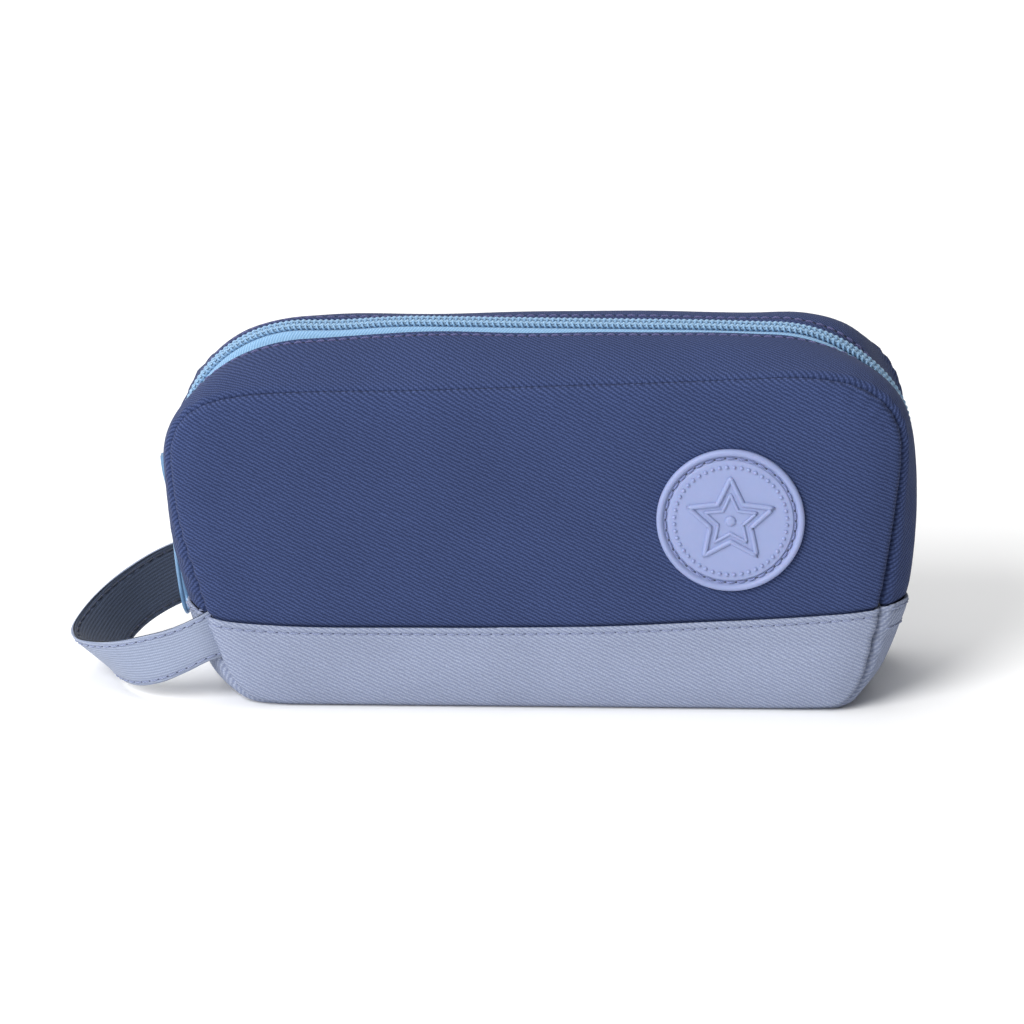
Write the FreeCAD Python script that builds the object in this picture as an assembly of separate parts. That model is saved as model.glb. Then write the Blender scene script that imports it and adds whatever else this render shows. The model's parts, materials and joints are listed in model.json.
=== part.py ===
"""Soft zipped pencil case with a two-tone sewn shell, a coil zip over its top and a side grab handle.

Row frame, millimetres: +X along the case to its right end, -Y its front, +Z up.
The origin is the middle of the flat base that the case stands on.
Three closed curves in XZ planes carry the shape: the seam curve, where the front and back
panels meet the gusset, the bulge curve, where the padded gusset is fullest, and the zip curve
along the gusset's middle.
"""

import FreeCAD, Part
import math
import os

from FreeCAD import Vector

# ---- driving dimensions ------------------------------------------------------------------
SEAM_HALF_WIDTH = 102.0     # seam curve: widest half width
SEAM_HEIGHT = 93.5
SEAM_TOP_RADIUS = 24.0
SEAM_TAPER = 11.5           # degrees that the ends lean in towards the base
BULGE_HALF_WIDTH = 105.2    # bulge curve: where the gusset is fullest
BULGE_HEIGHT = 101.5
BULGE_TOP_RADIUS = 30.0
BULGE_TAPER = 13.5
ZIP_HALF_WIDTH = 101.0      # zip curve: the gusset's middle, drawn in by the zip
ZIP_HEIGHT = 103.0
ZIP_TOP_RADIUS = 36.0
ZIP_TAPER = 13.5
BASE_RADIUS = 16.0          # bottom corners of all three curves
SEAM_Y = 27.0               # half depth at the two panel seams
BULGE_Y = 16.0
CROWN_Y = 8.0               # half width of the gusset's level middle strip
PANEL_Y = 31.5              # half depth at the crowned middle of a panel
PANEL_BORDER = 10.0         # width of a panel's sloping border
FABRIC = 1.2                # padded twill
LINING = 0.4
LINING_INSET = 2.15         # from the outer face to the lining
BAND_TOP = 29.0             # height of the joint between pale and navy cloth
LIP_GAP = 0.25              # the opening front lip stands this far above that joint
TOPSTITCH_DROP = 2.8        # from the joint down to its topstitching
THREAD = 0.3                # how far a thread stands proud
THREAD_WIDTH = 0.5
THREAD_LIFT = 0.02

TAPE_EDGE = 0.6             # zip tapes and coils stand this far from the middle plane
TAPE_HALF_WIDTH = 7.6
TAPE_TOP_INSET = 1.35
TAPE_THICKNESS = 0.6
COIL_OUTER = 2.9            # far side of a coil from the middle plane
COIL_TOP_INSET = -0.6
COIL_BOTTOM_INSET = 1.3
FOLD_EDGE = 5.2             # folded edge of the navy gusset beside the zip
ZIP_STITCH_Y = 6.3
BINDING_DEPTH = 6.8
BINDING_THICKNESS = 1.8

SLIDER_ANGLE = -10.0        # slider's middle on the left corner arc, above the horizontal
SLIDER_HALF_LENGTH = 5.4
SLIDER_HALF_WIDTH = 4.3
SLIDER_TAIL_HALF_WIDTH = 3.7
PLATE = 1.1
LOWER_PLATE_DEPTH = 2.95    # depths and rises are from the zip curve
UPPER_PLATE_RISE = 0.95
FLANGE_DEPTH = 0.85
FLANGE_INNER_Y = 3.5
POST_HALF_WIDTH = 0.4
POST_SPAN = (-4.8, -1.9)    # spans run along the zip from the slider's middle
PAWL_AT = 1.5
PAWL_RADIUS = 0.45
PAWL_HOLE_RADIUS = 0.6
BRIDGE_HALF_WIDTH = 1.7
BRIDGE_RISE = 4.6
BRIDGE_ROOF = 0.9
BRIDGE_SPAN = (-4.6, 4.2)
BRIDGE_LEG = 1.15
LEAF_SPAN = (-2.9, 2.9)
LEAF_HALF_WIDTH = 0.9
LEAF = 0.3
PULL_AT = -2.15             # where the pull's wire runs through the bridge
PULL_RISE = 3.2
PULL_LEAN = 4.5             # degrees that it hangs in towards the base
PULL_WIRE = 1.2
PULL_LENGTH = 39.5
PULL_TOP_HALF_WIDTH = 3.2
PULL_END_RADIUS = 4.1
PULL_CORNER = 1.2
PULL_END_STEPS = 4

HANDLE_AXIS_X = -93.4       # hinge line through the handle's two sewn ends
HANDLE_AXIS_Z = 21.5
HANDLE_START = 0.5          # gap from that line to the tips of the ends
HANDLE_REACH = 38.5
HANDLE_DROOP = 18.0
HANDLE_WIDTH = 15.0
HANDLE_HALF_SPAN = 26.2
HANDLE_TWILL = 0.9
HANDLE_BACKING = 0.6
HANDLE_END_ANGLE = 54.0     # the sewn ends taper at this angle, so that the loop can swing
HANDLE_STITCH_INSET = 1.5

BADGE_X = 54.0
BADGE_Z = 57.2
BADGE_RADIUS = 20.5
BADGE_BASE = 1.2
BADGE_RIM_WIDTH = 1.9
BADGE_RIM_RISE = 0.6
BADGE_GROOVE_WIDTH = 1.2
BADGE_FIELD_RISE = 0.25
BADGE_DOTS = 40
BADGE_DOT_RADIUS = 0.45
BADGE_DOT_CIRCLE = 14.6
BADGE_STAR_OUTER = 10.0
BADGE_STAR_INNER = 4.6
BADGE_STAR_LINE = 1.3
BADGE_MOTIF_RISE = 0.45

FAR = 400.0                 # larger than the whole case

CORNER_X = -(ZIP_HALF_WIDTH - ZIP_TOP_RADIUS)
CORNER_Z = ZIP_HEIGHT - ZIP_TOP_RADIUS


# ---- outlines ----------------------------------------------------------------------------
def outline(half_width, height, top_radius, taper, inset, y):
    """Closed wire in the plane at y: flat base, rounded lower corners, leaning ends, rounded top."""
    lean = math.radians(taper)
    w, h = half_width - inset, height - inset
    r, low = top_radius - inset, BASE_RADIUS - inset
    cx, cz = w - r, h - r
    side_x, side_z = cx + r * math.cos(lean), cz - r * math.sin(lean)
    foot_x = side_x - (side_z - inset) * math.tan(lean)
    reach = low * math.tan((math.pi / 2 - lean) / 2)
    low_cx = foot_x - reach
    low_cz = inset + low
    end_x, end_z = foot_x + reach * math.sin(lean), inset + reach * math.cos(lean)
    turn = (math.pi / 2 - lean) / 2

    def at(x, z):
        return Vector(x, y, z)

    def half(sign):
        base = at(sign * low_cx, inset)
        middle = at(sign * (low_cx + low * math.sin(turn)), low_cz - low * math.cos(turn))
        end = at(sign * end_x, end_z)
        side = at(sign * side_x, side_z)
        rise = (math.pi / 2 + lean) / 2 - lean
        shoulder = at(sign * (cx + r * math.cos(rise)), cz + r * math.sin(rise))
        top = at(sign * cx, h)
        return base, middle, end, side, shoulder, top

    rb, rm, re, rs, rh, rt = half(1)
    lb, lm, le, ls, lh, lt = half(-1)
    edges = [
        Part.LineSegment(lb, rb), Part.Arc(rb, rm, re), Part.LineSegment(re, rs),
        Part.Arc(rs, rh, rt), Part.LineSegment(rt, lt), Part.Arc(lt, lh, ls),
        Part.LineSegment(ls, le), Part.Arc(le, lm, lb),
    ]
    return Part.Wire([e.toShape() for e in edges])


def seam_wire(inset, y):
    return outline(SEAM_HALF_WIDTH, SEAM_HEIGHT, SEAM_TOP_RADIUS, SEAM_TAPER, inset, y)


def bulge_wire(inset, y):
    return outline(BULGE_HALF_WIDTH, BULGE_HEIGHT, BULGE_TOP_RADIUS, BULGE_TAPER, inset, y)


def zip_wire(inset, y):
    return outline(ZIP_HALF_WIDTH, ZIP_HEIGHT, ZIP_TOP_RADIUS, ZIP_TAPER, inset, y)


def box(x0, x1, y0, y1, z0, z1):
    return Part.makeBox(x1 - x0, y1 - y0, z1 - z0, Vector(x0, y0, z0))


def above(shape, z):
    return shape.common(box(-FAR, FAR, -FAR, FAR, z, FAR))


def below(shape, z):
    return shape.common(box(-FAR, FAR, -FAR, FAR, -FAR, z))


def between(shape, z0, z1):
    return shape.common(box(-FAR, FAR, -FAR, FAR, z0, z1))


def rows(shape, y0, y1):
    """The part of a shape whose y lies from y0 to y1."""
    return shape.common(box(-FAR, FAR, y0, y1, -FAR, FAR))


def zip_band(outer, inner, y0, y1):
    """Closed hoop along the zip curve between two insets, from y0 to y1."""
    face = Part.Face(zip_wire(outer, y0)).cut(Part.Face(zip_wire(inner, y0)))
    return face.extrude(Vector(0, y1 - y0, 0))


def core(inset):
    """Solid inside the gusset at an inset: lofts out to the two seams and a level middle strip."""
    sides = []
    for side in (-1, 1):
        curves = [
            seam_wire(inset, side * SEAM_Y),
            bulge_wire(inset, side * BULGE_Y),
            zip_wire(inset, side * CROWN_Y),
        ]
        sides.append(Part.makeLoft(curves, True, True))
    middle = Part.Face(zip_wire(inset, -CROWN_Y)).extrude(Vector(0, 2 * CROWN_Y, 0))
    return middle.fuse(sides)


def gusset_shell(outer, inner):
    return core(outer).cut(core(inner))


def pan(side, inset, depth_inset):
    """Solid frustum from the seam curve out to a panel's flat middle; side is -1 in front, 1 behind."""
    foot = seam_wire(inset, side * SEAM_Y)
    face = seam_wire(PANEL_BORDER + inset, side * (PANEL_Y - depth_inset))
    return Part.makeLoft([foot, face], True, True)


def pan_shell(side, outer, inner):
    """Dished panel between two insets, open towards the inside of the case."""
    cutter = pan(side, inner, inner)
    lip = Part.Face(seam_wire(inner, side * SEAM_Y)).extrude(Vector(0, -side * 5, 0))
    return pan(side, outer, outer).cut(cutter.fuse(lip))


# ---- places on the left corner arc --------------------------------------------------------
def polar(radius, angle, y=0.0):
    """Point on the left corner arc: angle in degrees above the horizontal, radius from its centre."""
    a = math.radians(angle)
    return Vector(CORNER_X - radius * math.cos(a), y, CORNER_Z + radius * math.sin(a))


def sector(r0, r1, a0, a1, y0, y1):
    """Curved block between two radii and two angles of the corner arc, from y0 to y1."""
    mid = (a0 + a1) / 2
    edges = [
        Part.Arc(polar(r0, a0, y0), polar(r0, mid, y0), polar(r0, a1, y0)),
        Part.LineSegment(polar(r0, a1, y0), polar(r1, a1, y0)),
        Part.Arc(polar(r1, a1, y0), polar(r1, mid, y0), polar(r1, a0, y0)),
        Part.LineSegment(polar(r1, a0, y0), polar(r0, a0, y0)),
    ]
    face = Part.Face(Part.Wire([e.toShape() for e in edges]))
    return face.extrude(Vector(0, y1 - y0, 0))


def along_zip(distance):
    """Angle on the corner arc at a distance along the zip from the slider's middle."""
    return SLIDER_ANGLE + math.degrees(distance / ZIP_TOP_RADIUS)


def zip_block(rise0, rise1, start, end, y0, y1):
    """Curved block between two rises from the zip curve and two distances along it."""
    r = ZIP_TOP_RADIUS
    return sector(r + rise0, r + rise1, along_zip(start), along_zip(end), y0, y1)


# ---- sewn shell ----------------------------------------------------------------------------
def make_shell():
    parts = {}
    lip_floor = BAND_TOP + LIP_GAP
    for name, side in (("front", -1), ("back", 1)):
        panel = pan_shell(side, 0.0, FABRIC)
        parts[name + "_panel_upper"] = above(panel, lip_floor)
        parts[name + "_panel_band"] = below(panel, BAND_TOP)
        ribbon = pan_shell(side, -THREAD, -THREAD_LIFT)
        z = BAND_TOP - TOPSTITCH_DROP
        parts[name + "_band_topstitch"] = between(ribbon, z, z + THREAD_WIDTH)
        lining = pan_shell(side, LINING_INSET, LINING_INSET + LINING)
        if side < 0:
            parts["front_lining_upper"] = above(lining, lip_floor)
            parts["front_lining_lower"] = below(lining, BAND_TOP)
        else:
            parts["back_lining"] = lining

    gusset = gusset_shell(0.0, FABRIC)
    upper = above(gusset, lip_floor)
    parts["zip_gusset_front"] = rows(upper, -FAR, -FOLD_EDGE)
    parts["zip_gusset_back"] = rows(upper, FOLD_EDGE, FAR)
    parts["base_gusset"] = below(gusset, BAND_TOP)

    lining = gusset_shell(LINING_INSET, LINING_INSET + LINING)
    upper = above(lining, lip_floor)
    parts["zip_gusset_lining_front"] = rows(upper, -FAR, -FOLD_EDGE)
    parts["zip_gusset_lining_back"] = rows(upper, FOLD_EDGE, FAR)
    parts["base_lining"] = below(lining, BAND_TOP)

    ribbon = gusset_shell(-THREAD, -THREAD_LIFT)
    z = BAND_TOP - TOPSTITCH_DROP
    parts["gusset_joint_topstitch"] = between(ribbon, z, z + THREAD_WIDTH)
    return parts


def make_bindings():
    """Bound seam allowances that stand inwards along the two panel seams."""
    parts = {}
    outer = LINING_INSET + LINING + 0.15
    for name, side in (("front", -1), ("back", 1)):
        y = side * SEAM_Y
        face = Part.Face(seam_wire(outer, y)).cut(Part.Face(seam_wire(outer + BINDING_DEPTH, y)))
        ring = face.extrude(Vector(0, -side * BINDING_THICKNESS, 0))
        if side < 0:
            parts["seam_binding_front_upper"] = above(ring, BAND_TOP + LIP_GAP)
            parts["seam_binding_front_lower"] = below(ring, BAND_TOP)
        else:
            parts["seam_binding_back"] = ring
    return parts


# ---- zip ------------------------------------------------------------------------------------
def make_zip():
    parts = {}
    start = BAND_TOP + LIP_GAP
    low_end = along_zip(-SLIDER_HALF_LENGTH)
    high_end = along_zip(SLIDER_HALF_LENGTH)
    for name, side in (("front", -1), ("back", 1)):
        def span(a, b):
            return tuple(sorted((side * a, side * b)))

        y0, y1 = span(TAPE_EDGE, TAPE_HALF_WIDTH)
        tape = zip_band(TAPE_TOP_INSET, TAPE_TOP_INSET + TAPE_THICKNESS, y0, y1)
        parts["zip_tape_" + name] = above(tape, start)

        y0, y1 = span(TAPE_EDGE, COIL_OUTER)
        coil = above(zip_band(COIL_TOP_INSET, COIL_BOTTOM_INSET, y0, y1), start)
        first = high_end + 0.6 if side < 0 else low_end
        cut_z = polar(ZIP_TOP_RADIUS, first).z
        coil = coil.cut(box(-FAR, 0, -FAR, FAR, -FAR, cut_z))
        parts["zip_coil_" + name] = coil

        stop_z = polar(ZIP_TOP_RADIUS, low_end).z - 6.6
        stop = zip_band(COIL_TOP_INSET + 0.3, COIL_BOTTOM_INSET, y0, y1)
        parts["zip_top_stop_" + name] = between(rows(stop, y0, y1), stop_z, stop_z + 2.2).common(
            box(-FAR, 0, -FAR, FAR, 0, FAR)
        )

        y0, y1 = span(ZIP_STITCH_Y, ZIP_STITCH_Y + THREAD_WIDTH)
        parts["zip_topstitch_" + name] = above(zip_band(-THREAD, -THREAD_LIFT, y0, y1), start)
    return parts


def slider_plan():
    """Prism square to the track at the slider's middle, with a wide head below and a narrow tail."""
    across = Vector(0, 1, 0)
    a = math.radians(SLIDER_ANGLE)
    along = Vector(math.sin(a), 0, math.cos(a))
    out = Vector(-math.cos(a), 0, math.sin(a))
    length = SLIDER_HALF_LENGTH
    head, tail, nose = SLIDER_HALF_WIDTH, SLIDER_TAIL_HALF_WIDTH, 2.2
    foot = polar(ZIP_TOP_RADIUS - 8, SLIDER_ANGLE)
    plan = [
        (-length - 0.1, -nose), (-length + 1.6, -head), (-0.6, -head), (1.4, -tail),
        (length + 0.5, -tail), (length + 0.5, tail), (1.4, tail), (-0.6, head),
        (-length + 1.6, head), (-length - 0.1, nose),
    ]
    corners = [foot + along * s + across * y for s, y in plan]
    face = Part.Face(Part.makePolygon(corners + corners[:1]))
    return face.extrude(out * 16)


def make_slider():
    """Curved wings above and below the chain, joined by a post, with a bridge and its lock."""
    length, w = SLIDER_HALF_LENGTH, SLIDER_HALF_WIDTH
    top = UPPER_PLATE_RISE + PLATE
    lower = zip_block(-LOWER_PLATE_DEPTH - PLATE, -LOWER_PLATE_DEPTH, -length, length, -w, w)
    upper = zip_block(UPPER_PLATE_RISE, top, -length, length, -w, w)
    plan = slider_plan()
    flange_end = -0.6
    flanges = [
        zip_block(-FLANGE_DEPTH, top, -length, flange_end, y0, y1).common(plan)
        for y0, y1 in ((-w, -FLANGE_INNER_Y), (FLANGE_INNER_Y, w))
    ]
    p0, p1 = POST_SPAN
    post = zip_block(-LOWER_PLATE_DEPTH - 0.5, top - 0.5, p0, p1, -POST_HALF_WIDTH, POST_HALF_WIDTH)
    shell = upper.fuse(lower).common(plan).fuse(flanges + [post])

    pawl_angle = along_zip(PAWL_AT)
    out = (polar(2, pawl_angle) - polar(1, pawl_angle)).normalize()
    hole_start = polar(ZIP_TOP_RADIUS + UPPER_PLATE_RISE - PLATE / 2, pawl_angle)
    hole = Part.makeCylinder(PAWL_HOLE_RADIUS, 2 * PLATE, hole_start, out)
    shell = shell.cut(hole)

    b0, b1 = BRIDGE_SPAN
    bw = BRIDGE_HALF_WIDTH
    roof = BRIDGE_RISE + BRIDGE_ROOF
    bridge = zip_block(BRIDGE_RISE, roof, b0, b1, -bw, bw).fuse([
        zip_block(top + 0.02, roof - 0.2, b0, b0 + BRIDGE_LEG, -bw, bw),
        zip_block(top + 0.02, roof - 0.2, b1 - BRIDGE_LEG, b1, -bw, bw),
    ])
    leaf_top = BRIDGE_RISE - 0.04
    l0, l1 = LEAF_SPAN
    leaf = zip_block(leaf_top - LEAF, leaf_top, l0, l1, -LEAF_HALF_WIDTH, LEAF_HALF_WIDTH)
    pawl_rise = UPPER_PLATE_RISE - 0.2
    foot = polar(ZIP_TOP_RADIUS + pawl_rise, pawl_angle)
    pawl = Part.makeCylinder(PAWL_RADIUS, leaf_top - 0.15 - pawl_rise, foot, out)
    return {"slider_body": shell, "slider_bridge": bridge, "slider_lock_spring": leaf.fuse(pawl)}


def wire_loop(points, radius):
    """Closed loop of round wire through the points."""
    pieces = []
    for start, end in zip(points, points[1:] + points[:1]):
        along = end - start
        pieces.append(Part.makeCylinder(radius, along.Length, start, along))
        pieces.append(Part.makeSphere(radius, start, along, -90, 90, 360))
    return pieces[0].fuse(pieces[1:])


def make_pull():
    """Wire loop that runs through the bridge and hangs along the zip."""
    pivot = polar(ZIP_TOP_RADIUS + PULL_RISE, along_zip(PULL_AT))
    lean = math.radians(PULL_LEAN)
    down = Vector(math.sin(lean), 0, -math.cos(lean))
    top, end = PULL_TOP_HALF_WIDTH, PULL_END_RADIUS
    end_s = PULL_LENGTH - end
    half = [(top - PULL_CORNER, 0.0), (top, PULL_CORNER)]
    for i in range(PULL_END_STEPS + 1):
        t = math.pi / 2 * i / PULL_END_STEPS
        half.append((end * math.cos(t), end_s + end * math.sin(t)))
    flat = half[:-1] + [(0.0, PULL_LENGTH)] + [(-y, s) for y, s in reversed(half[:-1])]
    points = [pivot + Vector(0, 1, 0) * y + down * s for y, s in flat]
    return {"pull_loop": wire_loop(points, PULL_WIRE / 2)}


# ---- handle -----------------------------------------------------------------------------------
def handle_band(outer, inner, z0, z1):
    """Half-ellipse band in the handle's own plane, reaching out along -X from its hinge line."""
    def face(grow):
        curve = Part.Ellipse(Vector(0, 0, z0), HANDLE_REACH + grow, HANDLE_HALF_SPAN + grow)
        return Part.Face(Part.Wire([curve.toShape()]))

    band = face(outer).cut(face(inner)).extrude(Vector(0, 0, z1 - z0))
    return band.common(box(-FAR, 0, -FAR, FAR, -FAR, FAR))


def make_handle():
    half = HANDLE_WIDTH / 2
    start = HANDLE_START
    slope = math.tan(math.radians(HANDLE_END_ANGLE))
    reach = 2 * HANDLE_REACH
    corners = [
        Vector(-start, -FAR / 4, 0), Vector(-start - reach, -FAR / 4, -reach * slope),
        Vector(-start - reach, -FAR / 4, reach * slope),
    ]
    wedge = Part.Face(Part.makePolygon(corners + corners[:1])).extrude(Vector(0, FAR / 2, 0))
    twill = handle_band(HANDLE_TWILL, 0.0, -half, half).common(wedge)
    backing = handle_band(-0.05, -0.05 - HANDLE_BACKING, -half + 1, half - 1).common(wedge)
    edge = half - HANDLE_STITCH_INSET
    face = HANDLE_TWILL
    lines = [
        handle_band(face + THREAD, face + THREAD_LIFT, z, z + THREAD_WIDTH).common(wedge)
        for z in (-edge - THREAD_WIDTH / 2, edge - THREAD_WIDTH / 2)
    ]
    parts = {
        "handle_strap": twill,
        "handle_backing": backing,
        "handle_topstitch": Part.makeCompound(lines),
    }
    for shape in parts.values():
        shape.rotate(Vector(0, 0, 0), Vector(0, 1, 0), -HANDLE_DROOP)
        shape.translate(Vector(HANDLE_AXIS_X, 0, HANDLE_AXIS_Z))
    return parts


# ---- badge --------------------------------------------------------------------------------------
def star_points(outer, inner):
    points = []
    for i in range(10):
        a = math.pi / 2 + i * math.pi / 5
        r = outer if i % 2 == 0 else inner
        points.append((r * math.cos(a), r * math.sin(a)))
    return points


def make_badge():
    """Round moulded patch: rim, stitch groove, ring of dots and a plain star outline."""
    back = -PANEL_Y - 0.05

    def disc(radius, rise, y=back):
        return Part.makeCylinder(radius, rise, Vector(BADGE_X, y, BADGE_Z), Vector(0, -1, 0))

    def prism(points, rise, y):
        corners = [Vector(BADGE_X + x, y, BADGE_Z + z) for x, z in points]
        return Part.Face(Part.makePolygon(corners + corners[:1])).extrude(Vector(0, -rise, 0))

    face = back - BADGE_BASE
    rim_inner = BADGE_RADIUS - BADGE_RIM_WIDTH
    field = rim_inner - BADGE_GROOVE_WIDTH
    rim = disc(BADGE_RADIUS, BADGE_RIM_RISE, face).cut(disc(rim_inner, BADGE_RIM_RISE, face))
    raised = disc(field, BADGE_FIELD_RISE, face)
    field_y = face - BADGE_FIELD_RISE
    dots = []
    for i in range(BADGE_DOTS):
        a = 2 * math.pi * i / BADGE_DOTS
        x = BADGE_X + BADGE_DOT_CIRCLE * math.cos(a)
        z = BADGE_Z + BADGE_DOT_CIRCLE * math.sin(a)
        place = Vector(x, field_y, z)
        dots.append(Part.makeCylinder(BADGE_DOT_RADIUS, BADGE_MOTIF_RISE, place, Vector(0, -1, 0)))
    star = prism(star_points(BADGE_STAR_OUTER, BADGE_STAR_INNER), BADGE_MOTIF_RISE, field_y)
    inner_scale = 1 - BADGE_STAR_LINE / BADGE_STAR_INNER
    hollow = star_points(BADGE_STAR_OUTER * inner_scale, BADGE_STAR_INNER * inner_scale)
    star = star.cut(prism(hollow, BADGE_MOTIF_RISE, field_y))
    patch = disc(BADGE_RADIUS, BADGE_BASE).fuse([rim, raised, star] + dots)

    groove_middle = (rim_inner + field) / 2
    y = face - THREAD_LIFT
    ring = disc(groove_middle + THREAD_WIDTH / 2, THREAD, y)
    ring = ring.cut(disc(groove_middle - THREAD_WIDTH / 2, THREAD, y))
    return {"badge": patch, "badge_stitching": ring}


def main():
    parts = {}
    for make in (make_shell, make_bindings, make_zip, make_slider, make_pull, make_handle, make_badge):
        parts.update(make())
    os.makedirs("parts", exist_ok=True)
    for name in os.listdir("parts"):
        os.remove(os.path.join("parts", name))
    for name, shape in parts.items():
        solids = shape.Solids
        bad = [s for s in solids if not s.isValid() or s.Volume <= 0]
        if not solids or bad:
            raise ValueError(name + " has no valid solid")
        kept = solids[0] if len(solids) == 1 else Part.makeCompound(solids)
        kept.exportStep("parts/" + name + ".step")
        print(name, len(solids), "solids", round(sum(s.Volume for s in solids), 1), "mm3")


main()
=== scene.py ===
"""Looks for the soft two-tone pencil case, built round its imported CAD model.

Sizes are in millimetres in the row frame and become metres when a mesh is made. Three closed curves
in XZ planes carry the sewn shell, as in the CAD model: the panel seam, the gusset's bulge and the zip.
"""

import json
import math

import bmesh
import bpy
import numpy as np
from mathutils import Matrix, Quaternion, Vector
from mathutils.bvhtree import BVHTree

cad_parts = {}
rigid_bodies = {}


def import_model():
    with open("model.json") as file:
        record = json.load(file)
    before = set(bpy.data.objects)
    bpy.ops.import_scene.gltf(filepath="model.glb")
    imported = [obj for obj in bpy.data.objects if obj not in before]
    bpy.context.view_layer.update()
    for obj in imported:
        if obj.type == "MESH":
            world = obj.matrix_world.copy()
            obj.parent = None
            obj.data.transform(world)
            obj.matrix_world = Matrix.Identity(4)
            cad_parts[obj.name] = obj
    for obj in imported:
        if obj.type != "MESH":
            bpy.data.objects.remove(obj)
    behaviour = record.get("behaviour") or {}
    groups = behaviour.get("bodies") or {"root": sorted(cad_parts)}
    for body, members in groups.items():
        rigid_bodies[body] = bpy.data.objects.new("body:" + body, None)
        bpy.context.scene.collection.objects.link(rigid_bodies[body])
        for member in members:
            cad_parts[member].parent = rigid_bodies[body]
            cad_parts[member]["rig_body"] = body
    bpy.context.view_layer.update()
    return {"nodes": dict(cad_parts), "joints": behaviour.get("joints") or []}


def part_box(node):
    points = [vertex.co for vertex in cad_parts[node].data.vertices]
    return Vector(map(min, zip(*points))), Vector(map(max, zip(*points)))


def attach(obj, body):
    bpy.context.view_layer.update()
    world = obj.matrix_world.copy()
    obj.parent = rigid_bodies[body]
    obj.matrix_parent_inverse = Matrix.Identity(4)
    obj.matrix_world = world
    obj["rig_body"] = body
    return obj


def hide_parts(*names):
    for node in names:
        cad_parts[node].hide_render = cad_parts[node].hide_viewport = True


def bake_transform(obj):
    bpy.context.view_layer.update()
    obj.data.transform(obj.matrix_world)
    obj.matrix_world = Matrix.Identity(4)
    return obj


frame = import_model()
MM = 0.001

# ---- sewn shell: sizes --------------------------------------------------------------------
SEAM_Y = 27.0
BULGE_Y = 15.0
FOLD_Y = 6.2                # folded navy edge beside the zip
FABRIC = 1.2                # thickness of the padded cloth
LINING = 0.4
LINING_INSET = 2.15         # from the outer surface
BINDING_INSET = 2.8         # from the panel seam, inwards
BINDING_THICKNESS = 1.8

ZIP_HALF_WIDTH = 101.0      # zip curve, as in the CAD model
ZIP_HEIGHT = 103.0
ZIP_TOP_RADIUS = 36.0
ZIP_TAPER = 13.5
ZIP_BASE_RADIUS = 16.0

# Curves run anticlockwise from the middle of the base: right end, top, left end.
SEAM_RIGHT = [
    (0, 0), (40, 0), (74, 0), (86.2, 1.6), (91.0, 8.6), (93.8, 19.5), (96.4, 34), (98.7, 48), (100.6, 62),
]
SEAM_TOP_FRONT = [
    (101.8, 73), (101.4, 82), (98.6, 88.2), (93, 93.4), (86, 96.2), (78, 97.4), (58, 96.6), (30, 95.2),
    (0, 94), (-34, 92.6), (-66, 91.9), (-82, 90.9), (-92, 88.4), (-99, 83.4), (-101.9, 76),
]
SEAM_TOP_BACK = [
    (101.8, 73), (99.4, 82.5), (93, 89.5), (82, 92.8), (60, 93.6), (0, 93.6), (-60, 92.9),
    (-81, 91.2), (-92, 86.6), (-99.4, 78.5),
]
SEAM_LEFT = [
    (-101.7, 67), (-100.4, 56), (-98, 45.5), (-94.8, 35), (-92.4, 26), (-89.7, 16.5), (-86.4, 8.6),
    (-81, 2.2), (-70, 0), (-36, 0),
]
BULGE_RIGHT = [
    (0, 0), (40, 0), (74, 0), (88.5, 1.6), (95, 8.4), (98.8, 17.5), (101.6, 28), (103.5, 39),
    (104.6, 50), (104.9, 60),
]
BULGE_TOP_FRONT = [
    (104.8, 70), (103.8, 79), (101, 87), (96, 93.2), (88.5, 98), (78, 100.6), (58, 101.5), (30, 101.2),
    (0, 100.6), (-34, 99.4), (-62, 97.9), (-78, 96.2), (-88, 93.2), (-95.6, 88.0), (-100.7, 81.6),
    (-103.3, 74.6),
]
BULGE_TOP_BACK = [
    (103.8, 67), (101.4, 74.5), (97.9, 82), (94.4, 88.8), (90.4, 94.8), (84.5, 99.6), (76, 102.3),
    (58, 103), (30, 103.1), (0, 102.7), (-34, 102.2), (-60, 101.2), (-74, 99.4), (-84, 95.9),
    (-92.6, 89.2), (-98.9, 80), (-103, 73),
]
BULGE_LEFT = [
    (-103.6, 65), (-102.9, 55), (-101.5, 44), (-99.3, 34.5), (-97.2, 25), (-94.8, 15.8), (-91.8, 7.4),
    (-85.8, 1.2), (-72, 0), (-36, 0),
]
CURVE_STEP = 0.75           # between the points of a curve
CURVE_SMOOTHING = 14        # passes that soften the curves' turns
SPANS = (58, 14, 40, 58, 58, 40, 14, 58)   # stations between the eight key places of a curve
KEY_HEIGHT = 29.0           # the key places at the two ends are this high

SEAM_ROWS = (7.5, 6.0, 4.7, 3.6, 2.7, 2.0, 1.45, 1.0, 0.65, 0.38, 0.18)
GUSSET_ROWS = (
    27.0, 26.82, 26.6, 26.3, 25.8, 25.2, 24.4, 23.4, 22.2, 20.8, 19.2, 17.6, 16.0, 14.4, 12.9, 11.5, 10.3,
    9.3, 8.6, 8.15, 7.9, 7.7, 7.5, 7.25, 6.8, 6.45, FOLD_Y,
)
FOLD_ROLL = ((6.0, 0.12), (5.84, 0.4), (5.8, 0.85))   # across, and drop below the folded edge
LINED_Y = 8.6               # the lining ends here, short of the folded edge
MIDDLE_ROWS = (3.0, 0.0)
EDGE_LINES = (-3.0, -2.4, -1.9, -1.4, -0.9, -0.4, 0.0, 0.6, 1.4, 2.6)   # cuts beside the joint
TUCKED_EDGE = EDGE_LINES[4]  # navy cloth runs in under the pale cloth down to here
BAND_STITCH = 1.9           # below the joint
FLOOR_GAP = 0.03            # least height of the cloth over the floor
JOINT_ROWS = (1.2, 7.0)     # topstitched rows below the gusset's joint
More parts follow.
